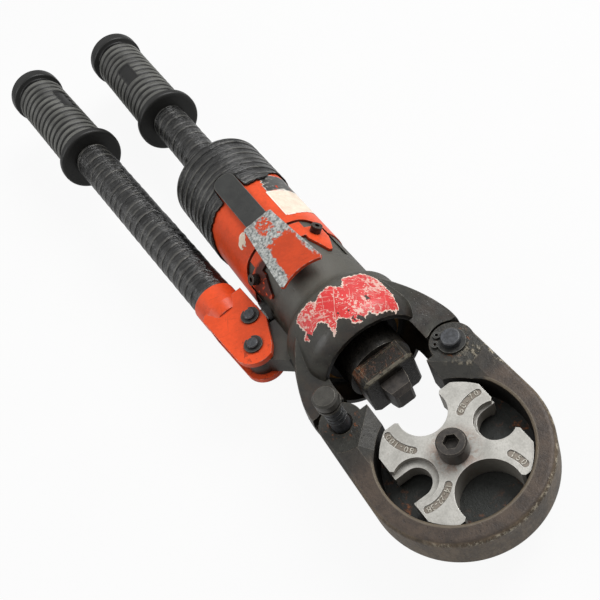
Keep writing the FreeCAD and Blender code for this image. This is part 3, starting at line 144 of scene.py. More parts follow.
def tree_of(*values):
    """Node tree of the first value that is a socket."""
    return next(value for value in values if isinstance(value, bpy.types.NodeSocket)).id_data


def calc(operation, first, second=0.0, clamp=False):
    tree = tree_of(first, second)
    node = place(tree, "ShaderNodeMath", {0: first, 1: second}, operation=operation, use_clamp=clamp)
    return node.outputs[0]


def times(first, second):
    return calc("MULTIPLY", first, second)


def over(first, second):
    return calc("DIVIDE", first, second)


def plus(first, second):
    return calc("ADD", first, second)


def less(first, second):
    return calc("SUBTRACT", first, second)


def length(first, second):
    return calc("SQRT", plus(times(first, first), times(second, second)))


def step(value, low, high):
    """0 below low, 1 above high, smooth between; low above high turns it round."""
    flipped = low > high
    node = place(value.id_data, "ShaderNodeMapRange",
                 {"Value": value, "From Min": min(low, high), "From Max": max(low, high),
                  "To Min": 1.0 if flipped else 0.0, "To Max": 0.0 if flipped else 1.0},
                 interpolation_type="SMOOTHSTEP")
    return node.outputs["Result"]


def every(*masks):
    """Where all of the masks lie together."""
    result = masks[0]
    for mask in masks[1:]:
        result = times(result, mask)
    return result


def either(*masks):
    """Where any one of the masks lies."""
    result = masks[0]
    for mask in masks[1:]:
        result = calc("MAXIMUM", result, mask)
    return result


def without(mask):
    """Where the mask doesn't lie."""
    return calc("SUBTRACT", 1.0, mask, clamp=True)


def blend(factor, under, over):
    return place(tree_of(factor, under, over), "ShaderNodeMix", {0: factor, 6: under, 7: over},
                 data_type="RGBA").outputs[2]


def between(factor, under, over):
    return place(tree_of(factor, under, over), "ShaderNodeMix", {0: factor, 2: under, 3: over},
                 data_type="FLOAT").outputs[0]


def noise(where, scale, detail, roughness=0.5, twist=0.0):
    node = place(where.id_data, "ShaderNodeTexNoise",
                 {"Vector": where, "Scale": scale, "Detail": detail, "Roughness": roughness,
                  "Distortion": twist})
    return node.outputs["Fac"]


def scaled(where, factors):
    """A place with each of its axes multiplied, which stretches a pattern where a factor is small."""
    node = place(where.id_data, "ShaderNodeVectorMath", {0: where, 1: factors}, operation="MULTIPLY")
    return node.outputs[0]


# Shader groups, whose sizes are in mm but for Width and Reach, which are in metres

SOCKET_KINDS = {"Color": "NodeSocketColor", "Dark": "NodeSocketColor", "Light": "NodeSocketColor"}


def start_group(name, inputs, outputs):
    """A new shader group: its tree, what it is given and what it gives out."""
    tree = bpy.data.node_groups.new(name, "ShaderNodeTree")
    tree.interface.new_socket("Vector", in_out="INPUT", socket_type="NodeSocketVector")
    for label, value in inputs.items():
        kind = SOCKET_KINDS.get(label, "NodeSocketFloat")
        tree.interface.new_socket(label, in_out="INPUT", socket_type=kind).default_value = value
    for label in outputs:
        kind = SOCKET_KINDS.get(label, "NodeSocketFloat")
        tree.interface.new_socket(label, in_out="OUTPUT", socket_type=kind)
    return tree, tree.nodes.new("NodeGroupInput").outputs, tree.nodes.new("NodeGroupOutput").inputs


def size_to_scale(size):
    """Noise scale, in the units of the part's metres, of a size in mm."""
    return over(1.0 / MM, size)


def build_worn_edges():
    """Mask of edges where the surface turns, broken up by patches."""
    tree, given, out = start_group(
        "Worn edges", {"Width": 0.0005, "Break up size": 2.0, "Amount": 0.5}, ["Mask"])
    rounded = place(tree, "ShaderNodeBevel", {"Radius": given["Width"]}, samples=6).outputs[0]
    flat = place(tree, "ShaderNodeNewGeometry").outputs["Normal"]
    turned = place(tree, "ShaderNodeVectorMath", {0: rounded, 1: flat}, operation="DOT_PRODUCT")
    bend = step(turned.outputs["Value"], 0.995, 0.93)
    patches = noise(given["Vector"], size_to_scale(given["Break up size"]), 4.0, 0.65)
    rub = plus(patches, less(given["Amount"], 0.5))
    mask = every(bend, step(rub, 0.42, 0.56))
    tree.links.new(mask, out["Mask"])


def build_shade_and_dirt():
    """Mask of corners that something near shades, for painted shade with patchy dirt."""
    tree, given, out = start_group("Painted corner shade and dirt", {"Reach": 0.004, "Patch size": 6.0}, ["Mask"])
    shade = place(tree, "ShaderNodeAmbientOcclusion", {"Distance": given["Reach"]}, samples=6).outputs["AO"]
    corner = step(shade, 0.85, 0.35)
    patches = noise(given["Vector"], size_to_scale(given["Patch size"]), 4.0, 0.6)
    mask = calc("MULTIPLY", corner, plus(patches, 0.45), clamp=True)
    tree.links.new(mask, out["Mask"])


def build_mottle():
    """Two colours in soft uneven patches."""
    tree, given, out = start_group(
        "Mottle", {"Size": 8.0, "Dark": (0, 0, 0, 1), "Light": (1, 1, 1, 1)}, ["Color", "Mask"])
    scale = size_to_scale(given["Size"])
    broad = noise(given["Vector"], scale, 5.0, 0.6)
    fine = noise(given["Vector"], times(scale, 9.0), 2.0, 0.7)
    both = plus(times(broad, 0.65), times(fine, 0.35))
    mask = step(both, 0.36, 0.64)
    tree.links.new(blend(mask, given["Dark"], given["Light"]), out["Color"])
    tree.links.new(mask, out["Mask"])


def build_cast_grain():
    """Height of a sand cast skin, and a mask of its pits."""
    tree, given, out = start_group("Cast grain", {"Size": 0.8}, ["Height", "Pits"])
    scale = size_to_scale(given["Size"])
    sand = noise(given["Vector"], scale, 3.0, 0.6)
    lumps = noise(given["Vector"], times(scale, 0.16), 2.0)
    cells = place(tree, "ShaderNodeTexVoronoi",
                  {"Vector": given["Vector"], "Scale": times(scale, 0.3), "Randomness": 1.0})
    pits = step(cells.outputs["Distance"], 0.16, 0.07)
    height = less(plus(times(sand, 0.5), lumps), times(pits, 0.5))
    tree.links.new(height, out["Height"])
    tree.links.new(pits, out["Pits"])


def build_specks():
    """Mask of small grains that gather in places."""
    tree, given, out = start_group("Specks", {"Size": 0.6, "Amount": 0.3}, ["Mask"])
    scale = size_to_scale(given["Size"])
    grit = noise(given["Vector"], scale, 2.0, 0.8)
    patch = noise(given["Vector"], times(scale, 0.12), 3.0)
    gathered = plus(grit, times(less(patch, 0.5), 0.6))
    value = plus(gathered, times(less(given["Amount"], 0.5), 0.5))
    tree.links.new(step(value, 0.55, 0.63), out["Mask"])


def build_rust():
    """Brown rust, where it lies and how high it stands."""
    tree, given, out = start_group("Rust", {"Size": 5.0, "Amount": 0.5}, ["Color", "Mask", "Height"])
    scale = size_to_scale(given["Size"])
    broad = noise(given["Vector"], scale, 6.0, 0.68, 0.4)
    fine = noise(given["Vector"], times(scale, 7.0), 2.0)
    mask = step(plus(broad, less(given["Amount"], 0.5)), 0.48, 0.6)
    color = blend(step(fine, 0.35, 0.65), tone(70, 38, 20), tone(150, 88, 42))
    tree.links.new(color, out["Color"])
    tree.links.new(mask, out["Mask"])
    tree.links.new(times(mask, fine), out["Height"])


def build_scratches():
    """Mask of long thin marks that run three ways."""
    tree, given, out = start_group("Scratches", {"Size": 3.0, "Amount": 0.4}, ["Mask"])
    scale = size_to_scale(given["Size"])
    masks = []
    for turn in (0.5, -0.9, 1.9):
        turned = place(tree, "ShaderNodeVectorRotate", {"Vector": given["Vector"], "Angle": turn},
                       rotation_type="Z_AXIS").outputs[0]
        line = noise(scaled(turned, (0.12, 2.6, 1.0)), scale, 3.0, 0.7)
        marked = plus(line, times(less(given["Amount"], 0.5), 0.3))
        masks.append(step(marked, 0.62, 0.68))
    tree.links.new(either(*masks), out["Mask"])


# Finishes


class Finish:
    """A material being built: its tree, places on the part and the shader at its end."""

    def __init__(self, name):
        self.material = bpy.data.materials.new(name)
        self.material.use_nodes = True
        self.tree = self.material.node_tree
        self.tree.nodes.clear()
        self.out = self.tree.nodes.new("ShaderNodeOutputMaterial")
        self.shader = self.tree.nodes.new("ShaderNodeBsdfPrincipled")
        self.tree.links.new(self.shader.outputs[0], self.out.inputs["Surface"])
        coordinates = self.tree.nodes.new("ShaderNodeTexCoord")
        self.where = coordinates.outputs["Object"]
        facing = place(self.tree, "ShaderNodeSeparateXYZ", {0: coordinates.outputs["Normal"]})
        self.facing_up = facing.outputs["Z"]
        self.color = WHITE
        spot = place(self.tree, "ShaderNodeSeparateXYZ", {0: self.where}).outputs
        self.x, self.y, self.z = (times(spot[axis], 1.0 / MM) for axis in "XYZ")

    def distance(self, spot):
        """Distance in mm, in plan, from a place on the part."""
        return length(less(self.x, spot[0]), less(self.y, spot[1]))

    def near(self, spot, none, full):
        """Mask round a place on the part, from nothing at one distance to full at a shorter one."""
        return step(self.distance(spot), none, full)

    def scaled(self, along, across, up):
        return scaled(self.where, (along, across, up))

    def cloud(self, size_mm, detail=3.0, roughness=0.55, twist=0.0, where=None):
        """Noise with lumps of about the given size."""
        return noise(where or self.where, 1.0 / (size_mm * MM), detail, roughness, twist)

    def mark(self, name):
        """A number that the mesh carries at its points."""
        return place(self.tree, "ShaderNodeAttribute", attribute_name=name).outputs["Fac"]

    def group(self, name, where=None, **values):
        """Outputs of a shader group; an underscore in the name of a value stands for a space."""
        node = self.tree.nodes.new("ShaderNodeGroup")
        node.node_tree = bpy.data.node_groups[name]
        labelled = {label.replace("_", " "): value for label, value in values.items()}
        fill(self.tree, node, {"Vector": where or self.where, **labelled})
        return node.outputs

    def mottle(self, size_mm, dark, light, where=None):
        return self.group("Mottle", where, Size=size_mm, Dark=dark, Light=light)["Color"]

    def rust(self, size_mm, amount):
        return self.group("Rust", Size=size_mm, Amount=amount)

    def specks(self, size_mm, amount, where=None):
        return self.group("Specks", where, Size=size_mm, Amount=amount)["Mask"]

    def scratches(self, amount):
        return self.group("Scratches", Size=3.0, Amount=amount)["Mask"]

    def worn(self, width_mm, patch_mm, amount):
        return self.group("Worn edges", Width=width_mm * MM, Break_up_size=patch_mm, Amount=amount)["Mask"]

    # Painted corner shade with patchy dirt, as a mask.
    def shade_and_dirt(self, reach_mm, patch_mm):
        return self.group("Painted corner shade and dirt", Reach=reach_mm * MM, Patch_size=patch_mm)["Mask"]

    def cover(self, mask, top):
        """Lays a colour over what there is so far, where the mask is."""
        self.color = blend(mask, self.color, top)

    def lay(self, mask, strength, top):
        """Lays a colour thinly, at some strength."""
        self.cover(times(mask, strength), top)

    def set(self, roughness, metallic=0.0, specular=0.5):
        fill(self.tree, self.shader, {"Base Color": self.color, "Roughness": roughness, "Metallic": metallic,
                                      "Specular IOR Level": specular})

    def relief(self, height, depth_mm, round_mm=0.0):
        """Bump of the given depth, over edges rounded by round_mm."""
        inputs = {"Height": height, "Distance": depth_mm * MM, "Strength": 1.0}
        if round_mm:
            bevel = place(self.tree, "ShaderNodeBevel", {"Radius": round_mm * MM}, samples=6)
            inputs["Normal"] = bevel.outputs[0]
        bump = place(self.tree, "ShaderNodeBump", inputs)
        self.tree.links.new(bump.outputs[0], self.shader.inputs["Normal"])


def casting_finish():
    """Black casting: grease at the front and by the pump, paler where the barrel faces up, painted shade in
    the bore and in its corners, rust by the pins, chipped edges.
    """
    f = Finish("Casting black")
    base = f.mottle(14.0, tone(37, 37, 31), tone(57, 56, 48))
    grease = f.mottle(5.0, tone(20, 17, 14), tone(46, 36, 27))
    front = every(step(f.x, -80.0, -60.0), step(f.cloud(9.0, detail=5.0), 0.25, 0.55))
    pump = every(f.near(PUMP_SPOT, 26.0, 12.0), step(f.cloud(5.0), 0.35, 0.55))
    dirt = either(front, pump)
    f.color = blend(dirt, base, grease)
    # Paler colour where the barrel faces up.
    paler_facing_up = every(step(f.facing_up, 0.25, 1.0), step(f.x, -75.0, -110.0))
    f.lay(paler_facing_up, 0.42, tone(118, 115, 108))
    # Painted shade on the bore's walls inside the mouth.
    bore_shade = every(step(calc("ABSOLUTE", f.y), MOUTH_HALF_WIDTH, MOUTH_HALF_WIDTH - 1.4),
                 step(f.x, MOUTH_X - 10.0, MOUTH_X), step(f.facing_up, 0.3, 0.0))
    f.lay(bore_shade, 0.8, tone(12, 11, 9))
    by_pins = either(f.near(HINGE_SPOT, 11.0, 5.5), f.near(LATCH_SPOT, 11.0, 6.0))
    pin_rust = every(by_pins, step(f.cloud(3.0), 0.42, 0.55))
    f.lay(pin_rust, 0.4, tone(84, 56, 36))
    grain = f.group("Cast grain", Size=0.9)
    worn = f.worn(0.6, 3.0, 0.47)
    chips = f.specks(1.1, 0.02)
    bare = either(times(worn, 0.75), times(chips, 0.5))
    f.cover(bare, tone(112, 106, 94))
    # Painted shade in corners, with patchy dirt.
    f.lay(f.shade_and_dirt(6.0, 5.0), 0.75, tone(22, 20, 17))
    rough = between(dirt, plus(times(f.cloud(3.0), 0.2), 0.38), 0.3)
    f.set(rough, specular=0.45)
    f.relief(grain["Height"], 0.16, 0.5)
    return f.material


def head_finish():
    """Brown head: dark arms, painted shade on the cavity wall and in corners, a dark cavity floor, rust by
    its rim and the pins, flaked scale on the far side.
    """
    f = Finish("Head steel")
    top = f.mottle(6.0, tone(46, 38, 32), tone(72, 60, 50))
    side = f.mottle(9.0, tone(66, 56, 44), tone(108, 93, 75), f.scaled(1, 1, 0.35))
    on_top = step(f.facing_up, 0.72, 0.93)
    f.color = blend(on_top, side, top)
    reach = f.distance(HEAD_SPOT)
    # Painted shade: the cavity wall under the top is near black.
    inside = every(step(reach, CAVITY_RADIUS + 1.2, CAVITY_RADIUS + 0.4),
                   step(f.z, HEAD_TOP_Z - 0.9, HEAD_TOP_Z - 1.7))
    f.cover(inside, tone(13, 12, 10))
    floor = every(step(reach, CAVITY_RADIUS + 0.4, CAVITY_RADIUS - 0.2), step(f.facing_up, 0.5, 0.9),
                  step(f.z, HEAD_FLOOR_Z + 2.3, HEAD_FLOOR_Z + 1.3))
    rust = f.rust(6.0, 0.45)
    near_rim = step(reach, 20.0, 31.0)
    floor_color = blend(times(every(rust["Mask"], near_rim), 0.8), tone(20, 23, 19), rust["Color"])
    f.cover(floor, floor_color)
    grain = f.group("Cast grain", Size=0.8)
    f.lay(every(grain["Pits"], without(inside)), 0.55, tone(30, 26, 22))
    arms = step(plus(f.x, times(f.cloud(8.0), 6.0)), -10.0, -21.0)
    arm_color = f.mottle(5.0, tone(24, 21, 17), tone(44, 39, 33))
    f.cover(every(arms, without(inside)), arm_color)
    pins = calc("MINIMUM", f.distance(HINGE_SPOT), f.distance(LATCH_SPOT))
    spot_face = every(step(pins, 14.3, 13.9), step(f.facing_up, 0.9, 0.97))
    facet = every(arms, step(f.facing_up, 0.97, 0.9), step(f.facing_up, 0.35, 0.6))
    planed = f.mottle(3.0, tone(28, 27, 23), tone(46, 45, 40))
    f.cover(either(spot_face, times(facet, 0.8)), planed)
    ring = f.rust(2.5, 0.44)
    ringed = every(step(pins, 9.5, 6.5), ring["Mask"], step(f.facing_up, 0.8, 0.95))
    f.cover(ringed, ring["Color"])
    scale = f.cloud(2.2, detail=6.0, roughness=0.75)
    drift = f.cloud(12.0, detail=2.0)
    height = plus(f.z, times(less(drift, 0.5), 3.0))
    band = every(step(height, HEAD_TOP_Z - 2.7, HEAD_TOP_Z - 1.7),
                 step(height, HEAD_TOP_Z - 0.5, HEAD_TOP_Z - 1.2), step(reach, 38.0, 39.4))
    far_side = step(plus(f.x, f.y), -16.0, 6.0)
    flaking = every(band, far_side, step(scale, 0.47, 0.55))
    f.lay(flaking, 0.8, tone(172, 162, 142))
    inner_rim = every(step(reach, CAVITY_RADIUS + 1.4, CAVITY_RADIUS + 0.9),
                      step(reach, CAVITY_RADIUS - 0.3, CAVITY_RADIUS),
                      step(f.z, HEAD_TOP_Z - 1.1, HEAD_TOP_Z - 0.6))
    f.lay(inner_rim, 0.4, tone(126, 116, 100))
    worn = f.worn(0.6, 2.2, 0.52)
    f.lay(every(worn, without(floor)), 0.6, tone(120, 110, 96))
    # Painted shade in corners, with patchy dirt.
    f.lay(f.shade_and_dirt(5.0, 4.0), 0.6, tone(20, 17, 14))
    rough = between(either(flaking, spot_face), plus(times(scale, 0.3), 0.36), 0.4)
    f.set(rough, 0.25)
    tall = plus(grain["Height"], plus(times(flaking, 1.2), times(scale, 0.8)))
    f.relief(tall, 0.22, 0.45)
    return f.material


def die_finish():
    """Pale die: rust stain round the screw, brown number pockets, bright edges."""
    f = Finish("Die steel")
    f.color = f.mottle(7.0, tone(158, 156, 150), tone(184, 182, 176))
    specks = f.specks(0.8, 0.34)
    f.lay(specks, 0.3, tone(122, 118, 108))
    rust = f.rust(3.5, 0.56)
    stain = every(f.near(DIE_SPOT, 13.5, 7.0), rust["Mask"])
    f.lay(stain, 0.45, rust["Color"])
    drip = f.rust(2.0, 0.36)
    f.lay(drip["Mask"], 0.25, drip["Color"])
    wall = step(f.facing_up, 0.6, 0.2)
    f.lay(wall, 0.55, tone(112, 104, 92))
    sunk = every(step(f.z, NUMBER_FLOOR_Z + 0.23, NUMBER_FLOOR_Z - 0.02),
                 step(f.z, NUMBER_FLOOR_Z - 0.42, NUMBER_FLOOR_Z - 0.22))
    f.lay(sunk, 0.7, tone(92, 76, 58))
    f.lay(f.worn(0.5, 2.0, 0.7), 0.6, tone(206, 204, 198))
    # Painted shade in corners, with patchy dirt.
    f.lay(f.shade_and_dirt(3.0, 3.0), 0.7, tone(44, 36, 28))
    f.set(plus(times(specks, 0.15), 0.4), 0.35)
    f.relief(f.cloud(0.7, detail=4.0), 0.05, 0.3)
    return f.material


# Each plain steel: dark, light and rubbed tones, rust, roughness, metallic, mottle size, and its nodes
STEELS = {
    "Dark steel": ((36, 33, 31), (64, 59, 55), (124, 116, 104), 0.34, 0.42, 0.4, 3.0,
                   ("die_screw", "punch", "punch_screw", "bracket_screws", "release_pivot", "filler_plug")),
    "Oiled pin steel": ((44, 45, 47), (76, 78, 82), (116, 116, 114), 0.22, 0.38, 0.4, 1.4,
                        ("hinge_pin", "latch_pin", "fulcrum_pin", "drive_pin")),
    "Blackened ring steel": ((30, 30, 29), (58, 58, 56), (120, 118, 110), 0.2, 0.42, 0.35, 3.0,
                             ("hinge_circlip", "fulcrum_clips", "drive_clips")),
    "Knob steel": ((52, 50, 46), (70, 68, 63), (112, 108, 100), 0.3, 0.42, 0.35, 4.0, ("latch_knob",)),
    "Ground steel": ((150, 150, 148), (190, 190, 188), (226, 226, 222), 0.15, 0.26, 0.85, 3.0,
                     ("return_spring", "pump_plunger", "suction_ball", "suction_spring", "detent_ball",
                      "release_valve_pin", "release_spring", "suction_plug")),
    "Oil dark steel": ((20, 19, 17), (40, 37, 33), (84, 80, 72), 0.3, 0.3, 0.4, 3.0, ("ram", "pump_gland")),
    "Handle tube steel": ((96, 96, 94), (132, 132, 128), (180, 178, 172), 0.3, 0.4, 0.6, 3.0,
                          ("lever_tube", "fixed_tube")),
    "Bronze": ((150, 104, 56), (190, 142, 84), (222, 184, 130), 0.1, 0.32, 0.8, 3.0,
               ("die_bush", "ram_gland")),
}


def plain_steel(name, dark, light, rubbed, rust_amount, roughness, metallic, size):
    """A steel finish with mottle, rust, rubbed edges and painted shade with dirt in corners, of its own
    amounts.
    """
    f = Finish(name)
    f.color = f.mottle(size, dark, light)
    rust = f.rust(size, rust_amount)
    f.lay(rust["Mask"], 0.6, rust["Color"])
    f.lay(f.worn(0.4, 1.6, 0.6), 0.75, rubbed)
    # Painted shade in corners, with patchy dirt.
    f.lay(f.shade_and_dirt(2.5, 3.0), 0.6, tone(16, 14, 12))
    rough = plus(times(f.cloud(1.5), 0.25), roughness - 0.12)
    f.set(rough, metallic)
    f.relief(f.cloud(0.5, detail=3.0), 0.04, 0.25)
    return f.material


def block_finish():
    """Punch block: rusty dark top, bright rubbed front edge, grease on its sides."""
    f = Finish("Punch block steel")
    f.color = f.mottle(3.0, tone(14, 12, 9), tone(32, 27, 20))
    top = step(f.facing_up, 0.7, 0.95)
    rust = f.rust(1.4, 0.47)
    f.lay(every(top, rust["Mask"]), 0.3, rust["Color"])
    orange = every(f.near(BLOCK_RUST_SPOT, 6.0, 2.0), step(f.cloud(1.6), 0.4, 0.55))
    f.lay(orange, 0.5, tone(128, 74, 34))
    front = every(step(f.x, BLOCK_FRONT_X - 1.2, BLOCK_FRONT_X), step(f.z, 22.0, 24.0),
                  step(f.cloud(2.0), 0.3, 0.5))
    f.lay(front, 0.55, tone(140, 134, 118))
    f.lay(f.worn(0.5, 2.0, 0.55), 0.55, tone(132, 120, 96))
    f.set(0.36, 0.3)
    f.relief(plus(f.cloud(0.8, detail=4.0), rust["Height"]), 0.14, 0.35)
    return f.material


def darker(colour, share):
    """A colour times a share of one or less."""
    return tuple(c * share for c in colour[:3]) + (1.0,)


def rubbed_plate(f):
    """Mask of the bare metal at the thumb plate's rear; u runs along the plate and v across it."""
    u = over(plus(f.x, -PLATE_REAR_X), PLATE_LENGTH)
    half_width = plus(8.6, times(u, 3.4))
    middle = plus(f.y, plus(1.6, times(u, 1.6)))
    v = over(middle, half_width)
    ragged = times(less(f.cloud(4.0, detail=5.0, roughness=0.7), 0.5), 0.5)
    ragged_u = plus(u, ragged)
    ragged_v = plus(v, times(ragged, 1.6))
    front = every(step(ragged_u, 0.36, 0.41), step(ragged_v, -0.66, -0.55),
                  either(step(ragged_v, 0.86, 0.74), step(ragged_u, 0.86, 0.92)))
    away = length(over(less(ragged_u, 0.1), 0.15), over(plus(v, 0.1), 0.5))
    patch = every(step(away, 1.0, 0.85), step(f.cloud(1.3, detail=4.0), 0.42, 0.5))
    painted = either(front, patch, step(f.facing_up, 0.7, 0.4))
    return without(either(painted, times(f.specks(0.9, 0.12), 0.6)))


def paint_finish(name, plate=False):
    """Orange paint with nicks, painted shade with dirt in corners and bare edges; the thumb plate is rubbed
    to the metal at its rear.
    """
    f = Finish(name)
    orange = bpy.context.scene.crimping_tool_finish.orange
    share = 0.72 if plate else 1.0
    f.color = f.mottle(16.0, darker(orange, 0.8 * share), darker(orange, share))
    nicks = f.specks(1.0, 0.06)
    f.lay(nicks, 0.6, tone(70, 40, 30))
    f.lay(f.scratches(0.42), 0.3, tone(120, 50, 30))
    bright = tone(160, 156, 146)
    worn = f.worn(0.5, 2.4, 0.55 if plate else 0.45)
    bare = times(worn, 0.8)
    if plate:
        bare = either(bare, rubbed_plate(f))
        bright = f.mottle(1.4, tone(88, 92, 92), tone(200, 202, 198))
    f.cover(bare, bright)
    # Painted shade in corners, with patchy dirt.
    f.lay(f.shade_and_dirt(4.0, 3.0), 0.7, tone(44, 22, 16))
    if not plate:
        tab = every(f.near(BRACKET_TAB_SPOT, 10.5, 8.0), step(f.cloud(2.0), 0.3, 0.42))
        ear = every(f.near(YOKE_EAR_SPOT, 13.0, 7.0),
                    step(f.cloud(3.0, detail=6.0, roughness=0.75), 0.56, 0.62))
        f.cover(either(times(tab, 0.92), times(ear, 0.5)), tone(26, 24, 22))
    f.set(between(bare, 0.38, 0.5), times(bare, 0.4), specular=0.3)
    raised = less(f.cloud(2.2, detail=2.0), times(bare, 1.6))
    f.relief(raised, 0.06, 0.4)
    return f.material


def tape_finish(name, dark, light):
    """Glossy wrinkled tape: painted shade in its folds and where a lap is tucked under the next, a painted
    highlight along its edges.
    """
    f = Finish(name)
    around = f.scaled(2.4, 0.4, 0.4)
    f.color = f.mottle(4.0, dark, light, around)
    worn = f.worn(0.25, 4.0, 0.62)
    # Painted highlight along the free edge of each lap.
    edge = f.mark("lap_edge")
    pale = every(edge, step(f.cloud(9.0, detail=4.0), 0.38, 0.6))
    f.lay(pale, 0.42, tone(112, 110, 104))
    # Painted shade, near black, in folds and on the tucked side of each lap.
    fold_shade = f.shade_and_dirt(1.4, 4.0)
    tuck_shade = f.mark("tuck_shade")
    f.cover(either(fold_shade, times(tuck_shade, 0.85)), tone(2, 2, 2))
    f.lay(worn, 0.12, tone(100, 98, 92))
    f.lay(f.specks(0.7, 0.1), 0.22, tone(104, 100, 92))
    wrinkles = f.cloud(2.6, detail=4.0, twist=0.7, where=f.scaled(3.0, 0.45, 0.45))
    f.set(plus(times(f.cloud(6.0, where=around), 0.36), 0.04), specular=0.55)
    creases = f.cloud(1.6, detail=2.0, twist=0.3, where=f.scaled(1.0, 0.25, 0.25))
    f.relief(plus(wrinkles, times(creases, 0.5)), 0.8)
    return f.material


def rubber_finish(name, dark, light, roughness):
    """Dusty rubber, with painted shade near black between its ribs and a painted highlight on their crests.
    """
    f = Finish(name)
    f.color = f.mottle(10.0, dark, light)
    crest = f.mark("crest")
    # Painted shade, near black, between the ribs.
    f.color = blend(crest, tone(5, 5, 5), f.color)
    # Painted highlight on the rib crests, broken up in patches.
    pale = every(step(crest, 0.6, 1.0), step(f.cloud(16.0, detail=5.0), 0.2, 0.7))
    f.lay(pale, 0.8, tone(116, 116, 111))
    f.lay(f.specks(0.8, 0.1), 0.16, tone(112, 110, 104))
    f.set(roughness, specular=0.3)
    f.relief(f.cloud(0.6, detail=3.0), 0.05)
    return f.material


def strap_finish():
    """Black woven strap, rubbed pale along its edges."""
    f = Finish("Strap black")
    f.color = f.mottle(8.0, tone(28, 29, 28), tone(44, 45, 43))
    f.lay(f.worn(0.5, 5.0, 0.66), 0.65, tone(138, 138, 130))
    f.set(0.55)
    weave = f.cloud(0.5, detail=2.0, where=f.scaled(1.0, 3.0, 1.0))
    f.relief(weave, 0.06, 0.3)
    return f.material


def label_finish(name, dark, light, torn_tone, smear_amount):
    """A worn printed film: one plain colour, rubbed smears and a pale torn border."""
    f = Finish(name)
    f.color = f.mottle(7.0, dark, light)
    torn = f.mark("torn")
    border = step(plus(torn, times(f.cloud(1.6, detail=4.0), 0.7)), 1.0, 1.2)
    smears = f.specks(1.6, smear_amount)
    rubbed = f.scratches(smear_amount + 0.08)
    white = either(border, times(smears, 0.75), times(rubbed, 0.55))
    f.cover(white, torn_tone)
    f.lay(f.specks(1.5, 0.1, f.scaled(1.0, 1.0, -1.0)), 0.8, tone(48, 34, 32))
    f.set(0.42)
    f.relief(plus(f.cloud(1.2, detail=3.0), white), 0.06)
    return f.material


def numeral_finish():
    """Uneven bright steel of the raised numbers."""
    f = Finish("Numeral steel")
    f.color = f.mottle(1.2, tone(120, 114, 102), tone(196, 192, 182))
    f.set(0.4, 0.5)
    f.relief(f.cloud(0.4), 0.03)
    return f.material


def floor_finish():
    """Pale matt floor that the camera and mirrors see as white."""
    f = Finish("Studio floor")
    t = f.tree
    f.color = f.mottle(60.0, tone(196, 196, 195), tone(202, 202, 201))
    f.set(0.8)
    glow = place(t, "ShaderNodeEmission", {"Color": WHITE, "Strength": 1.0})
    rays = t.nodes.new("ShaderNodeLightPath").outputs
    mirrored = times(either(rays["Is Glossy Ray"], rays["Is Transmission Ray"]), 0.4)
    seen = either(rays["Is Camera Ray"], mirrored)
    mixed = place(t, "ShaderNodeMixShader",
                  {0: times(seen, 0.93), 1: f.shader.outputs[0], 2: glow.outputs[0]})
    t.links.new(mixed.outputs[0], f.out.inputs["Surface"])
    return f.material


def dress(nodes, material):
    """Gives CAD nodes their material."""
    for name in nodes:
        mesh = NODES[name].data
        mesh.materials.clear()
        mesh.materials.append(material)


# Mesh building, in mm

TURN = 2 * math.pi
LATHE_SIDES = 96

GRIP_LENGTH = 95.5
GRIP_BASE = 14.0
GRIP_RIB = 15.6
GRIP_RIBS = 13
GRIP_HOLE = 9.7
RIB_SHARE = 0.86
FIRST_RIB = 9.0
LAST_RIB = 83.0
FLANGE_WIDTH = 5.5
FLANGE_RADIUS = 19.5
CAP_START = 86.0
CAP_RADIUS = 17.1
CAP_ROUND = 3.0

# Each tape's path, as distances along and radii
LEVER_TAPE_PATH = ((44.7, 10.95), (196.3, 10.95))
TUBE_TAPE_PATH = ((233.8, 14.4), (235.5, 12.2), (238.5, 11.0), (292.6, 10.95))
RESERVOIR_TAPE_PATH = ((168.5, 27.1), (221.5, 27.15), (224.0, 24.6), (229.5, 17.6), (233.4, 14.6))

STRIP_START = 45.5
STRIP_END = 192.0
STRIP_ROWS = 300
STRIP_COLUMNS = 12
STRIP_RADIUS = 10.75
STRIP_LOW_EDGE = 96.0

# Each film: outline of (x, degrees from the top), carrier, radius, lift, cell, raggedness, holes, slot, seed
FILMS = {
    "cylinder_film": (
        [(-88.1, -38), (-89.1, -32), (-89.4, -19), (-86.6, -14), (-88.6, -8), (-88.6, 4), (-86.6, 8),
         (-83.7, 12), (-88.4, 16), (-88.4, 28), (-86.7, 41), (-82.1, 47), (-75.0, 48), (-68.1, 47),
         (-63.9, 47), (-62.6, 42), (-63.9, 34), (-63.4, 22), (-66.0, 16), (-63.6, 8), (-65.0, -2),
         (-67.5, -1), (-69.8, -6), (-70.9, -10), (-66.9, -16), (-66.2, -21), (-70.4, -18), (-73.5, -19),
         (-76.7, -21), (-75.9, -29), (-75.3, -41), (-77.6, -45), (-79.8, -37), (-83.6, -39)],
        "cylinder_body", CASTING_RADIUS, 0.12, 0.4, 0.22, 9, "orange_paint", 4),
    "reservoir_film": (
        [(-167.9, 24), (-168.2, 46), (-169.6, 72), (-151.0, 74), (-148.6, 60), (-146.4, 40), (-146.2, 24)],
        "reservoir_sleeve", SLEEVE_RADIUS, 0.1, 0.5, 0.08, 0, "orange_paint", 2),
    "reservoir_dark_film": (
        [(-182.5, 30), (-184.0, 72), (-169.9, 72), (-168.5, 46), (-168.2, 25)],
        "reservoir_sleeve", SLEEVE_RADIUS, 0.16, 0.5, 0.25, 3, "black_tape", 9),
    "peeled_patch": (
        [(-155.5, -30), (-153.4, -25), (-149.8, -31), (-146.6, -34), (-148.3, -42), (-152.4, -42)],
        "reservoir_sleeve", SLEEVE_RADIUS, 0.08, 0.3, 0.25, 1, "orange_paint", 6),
}

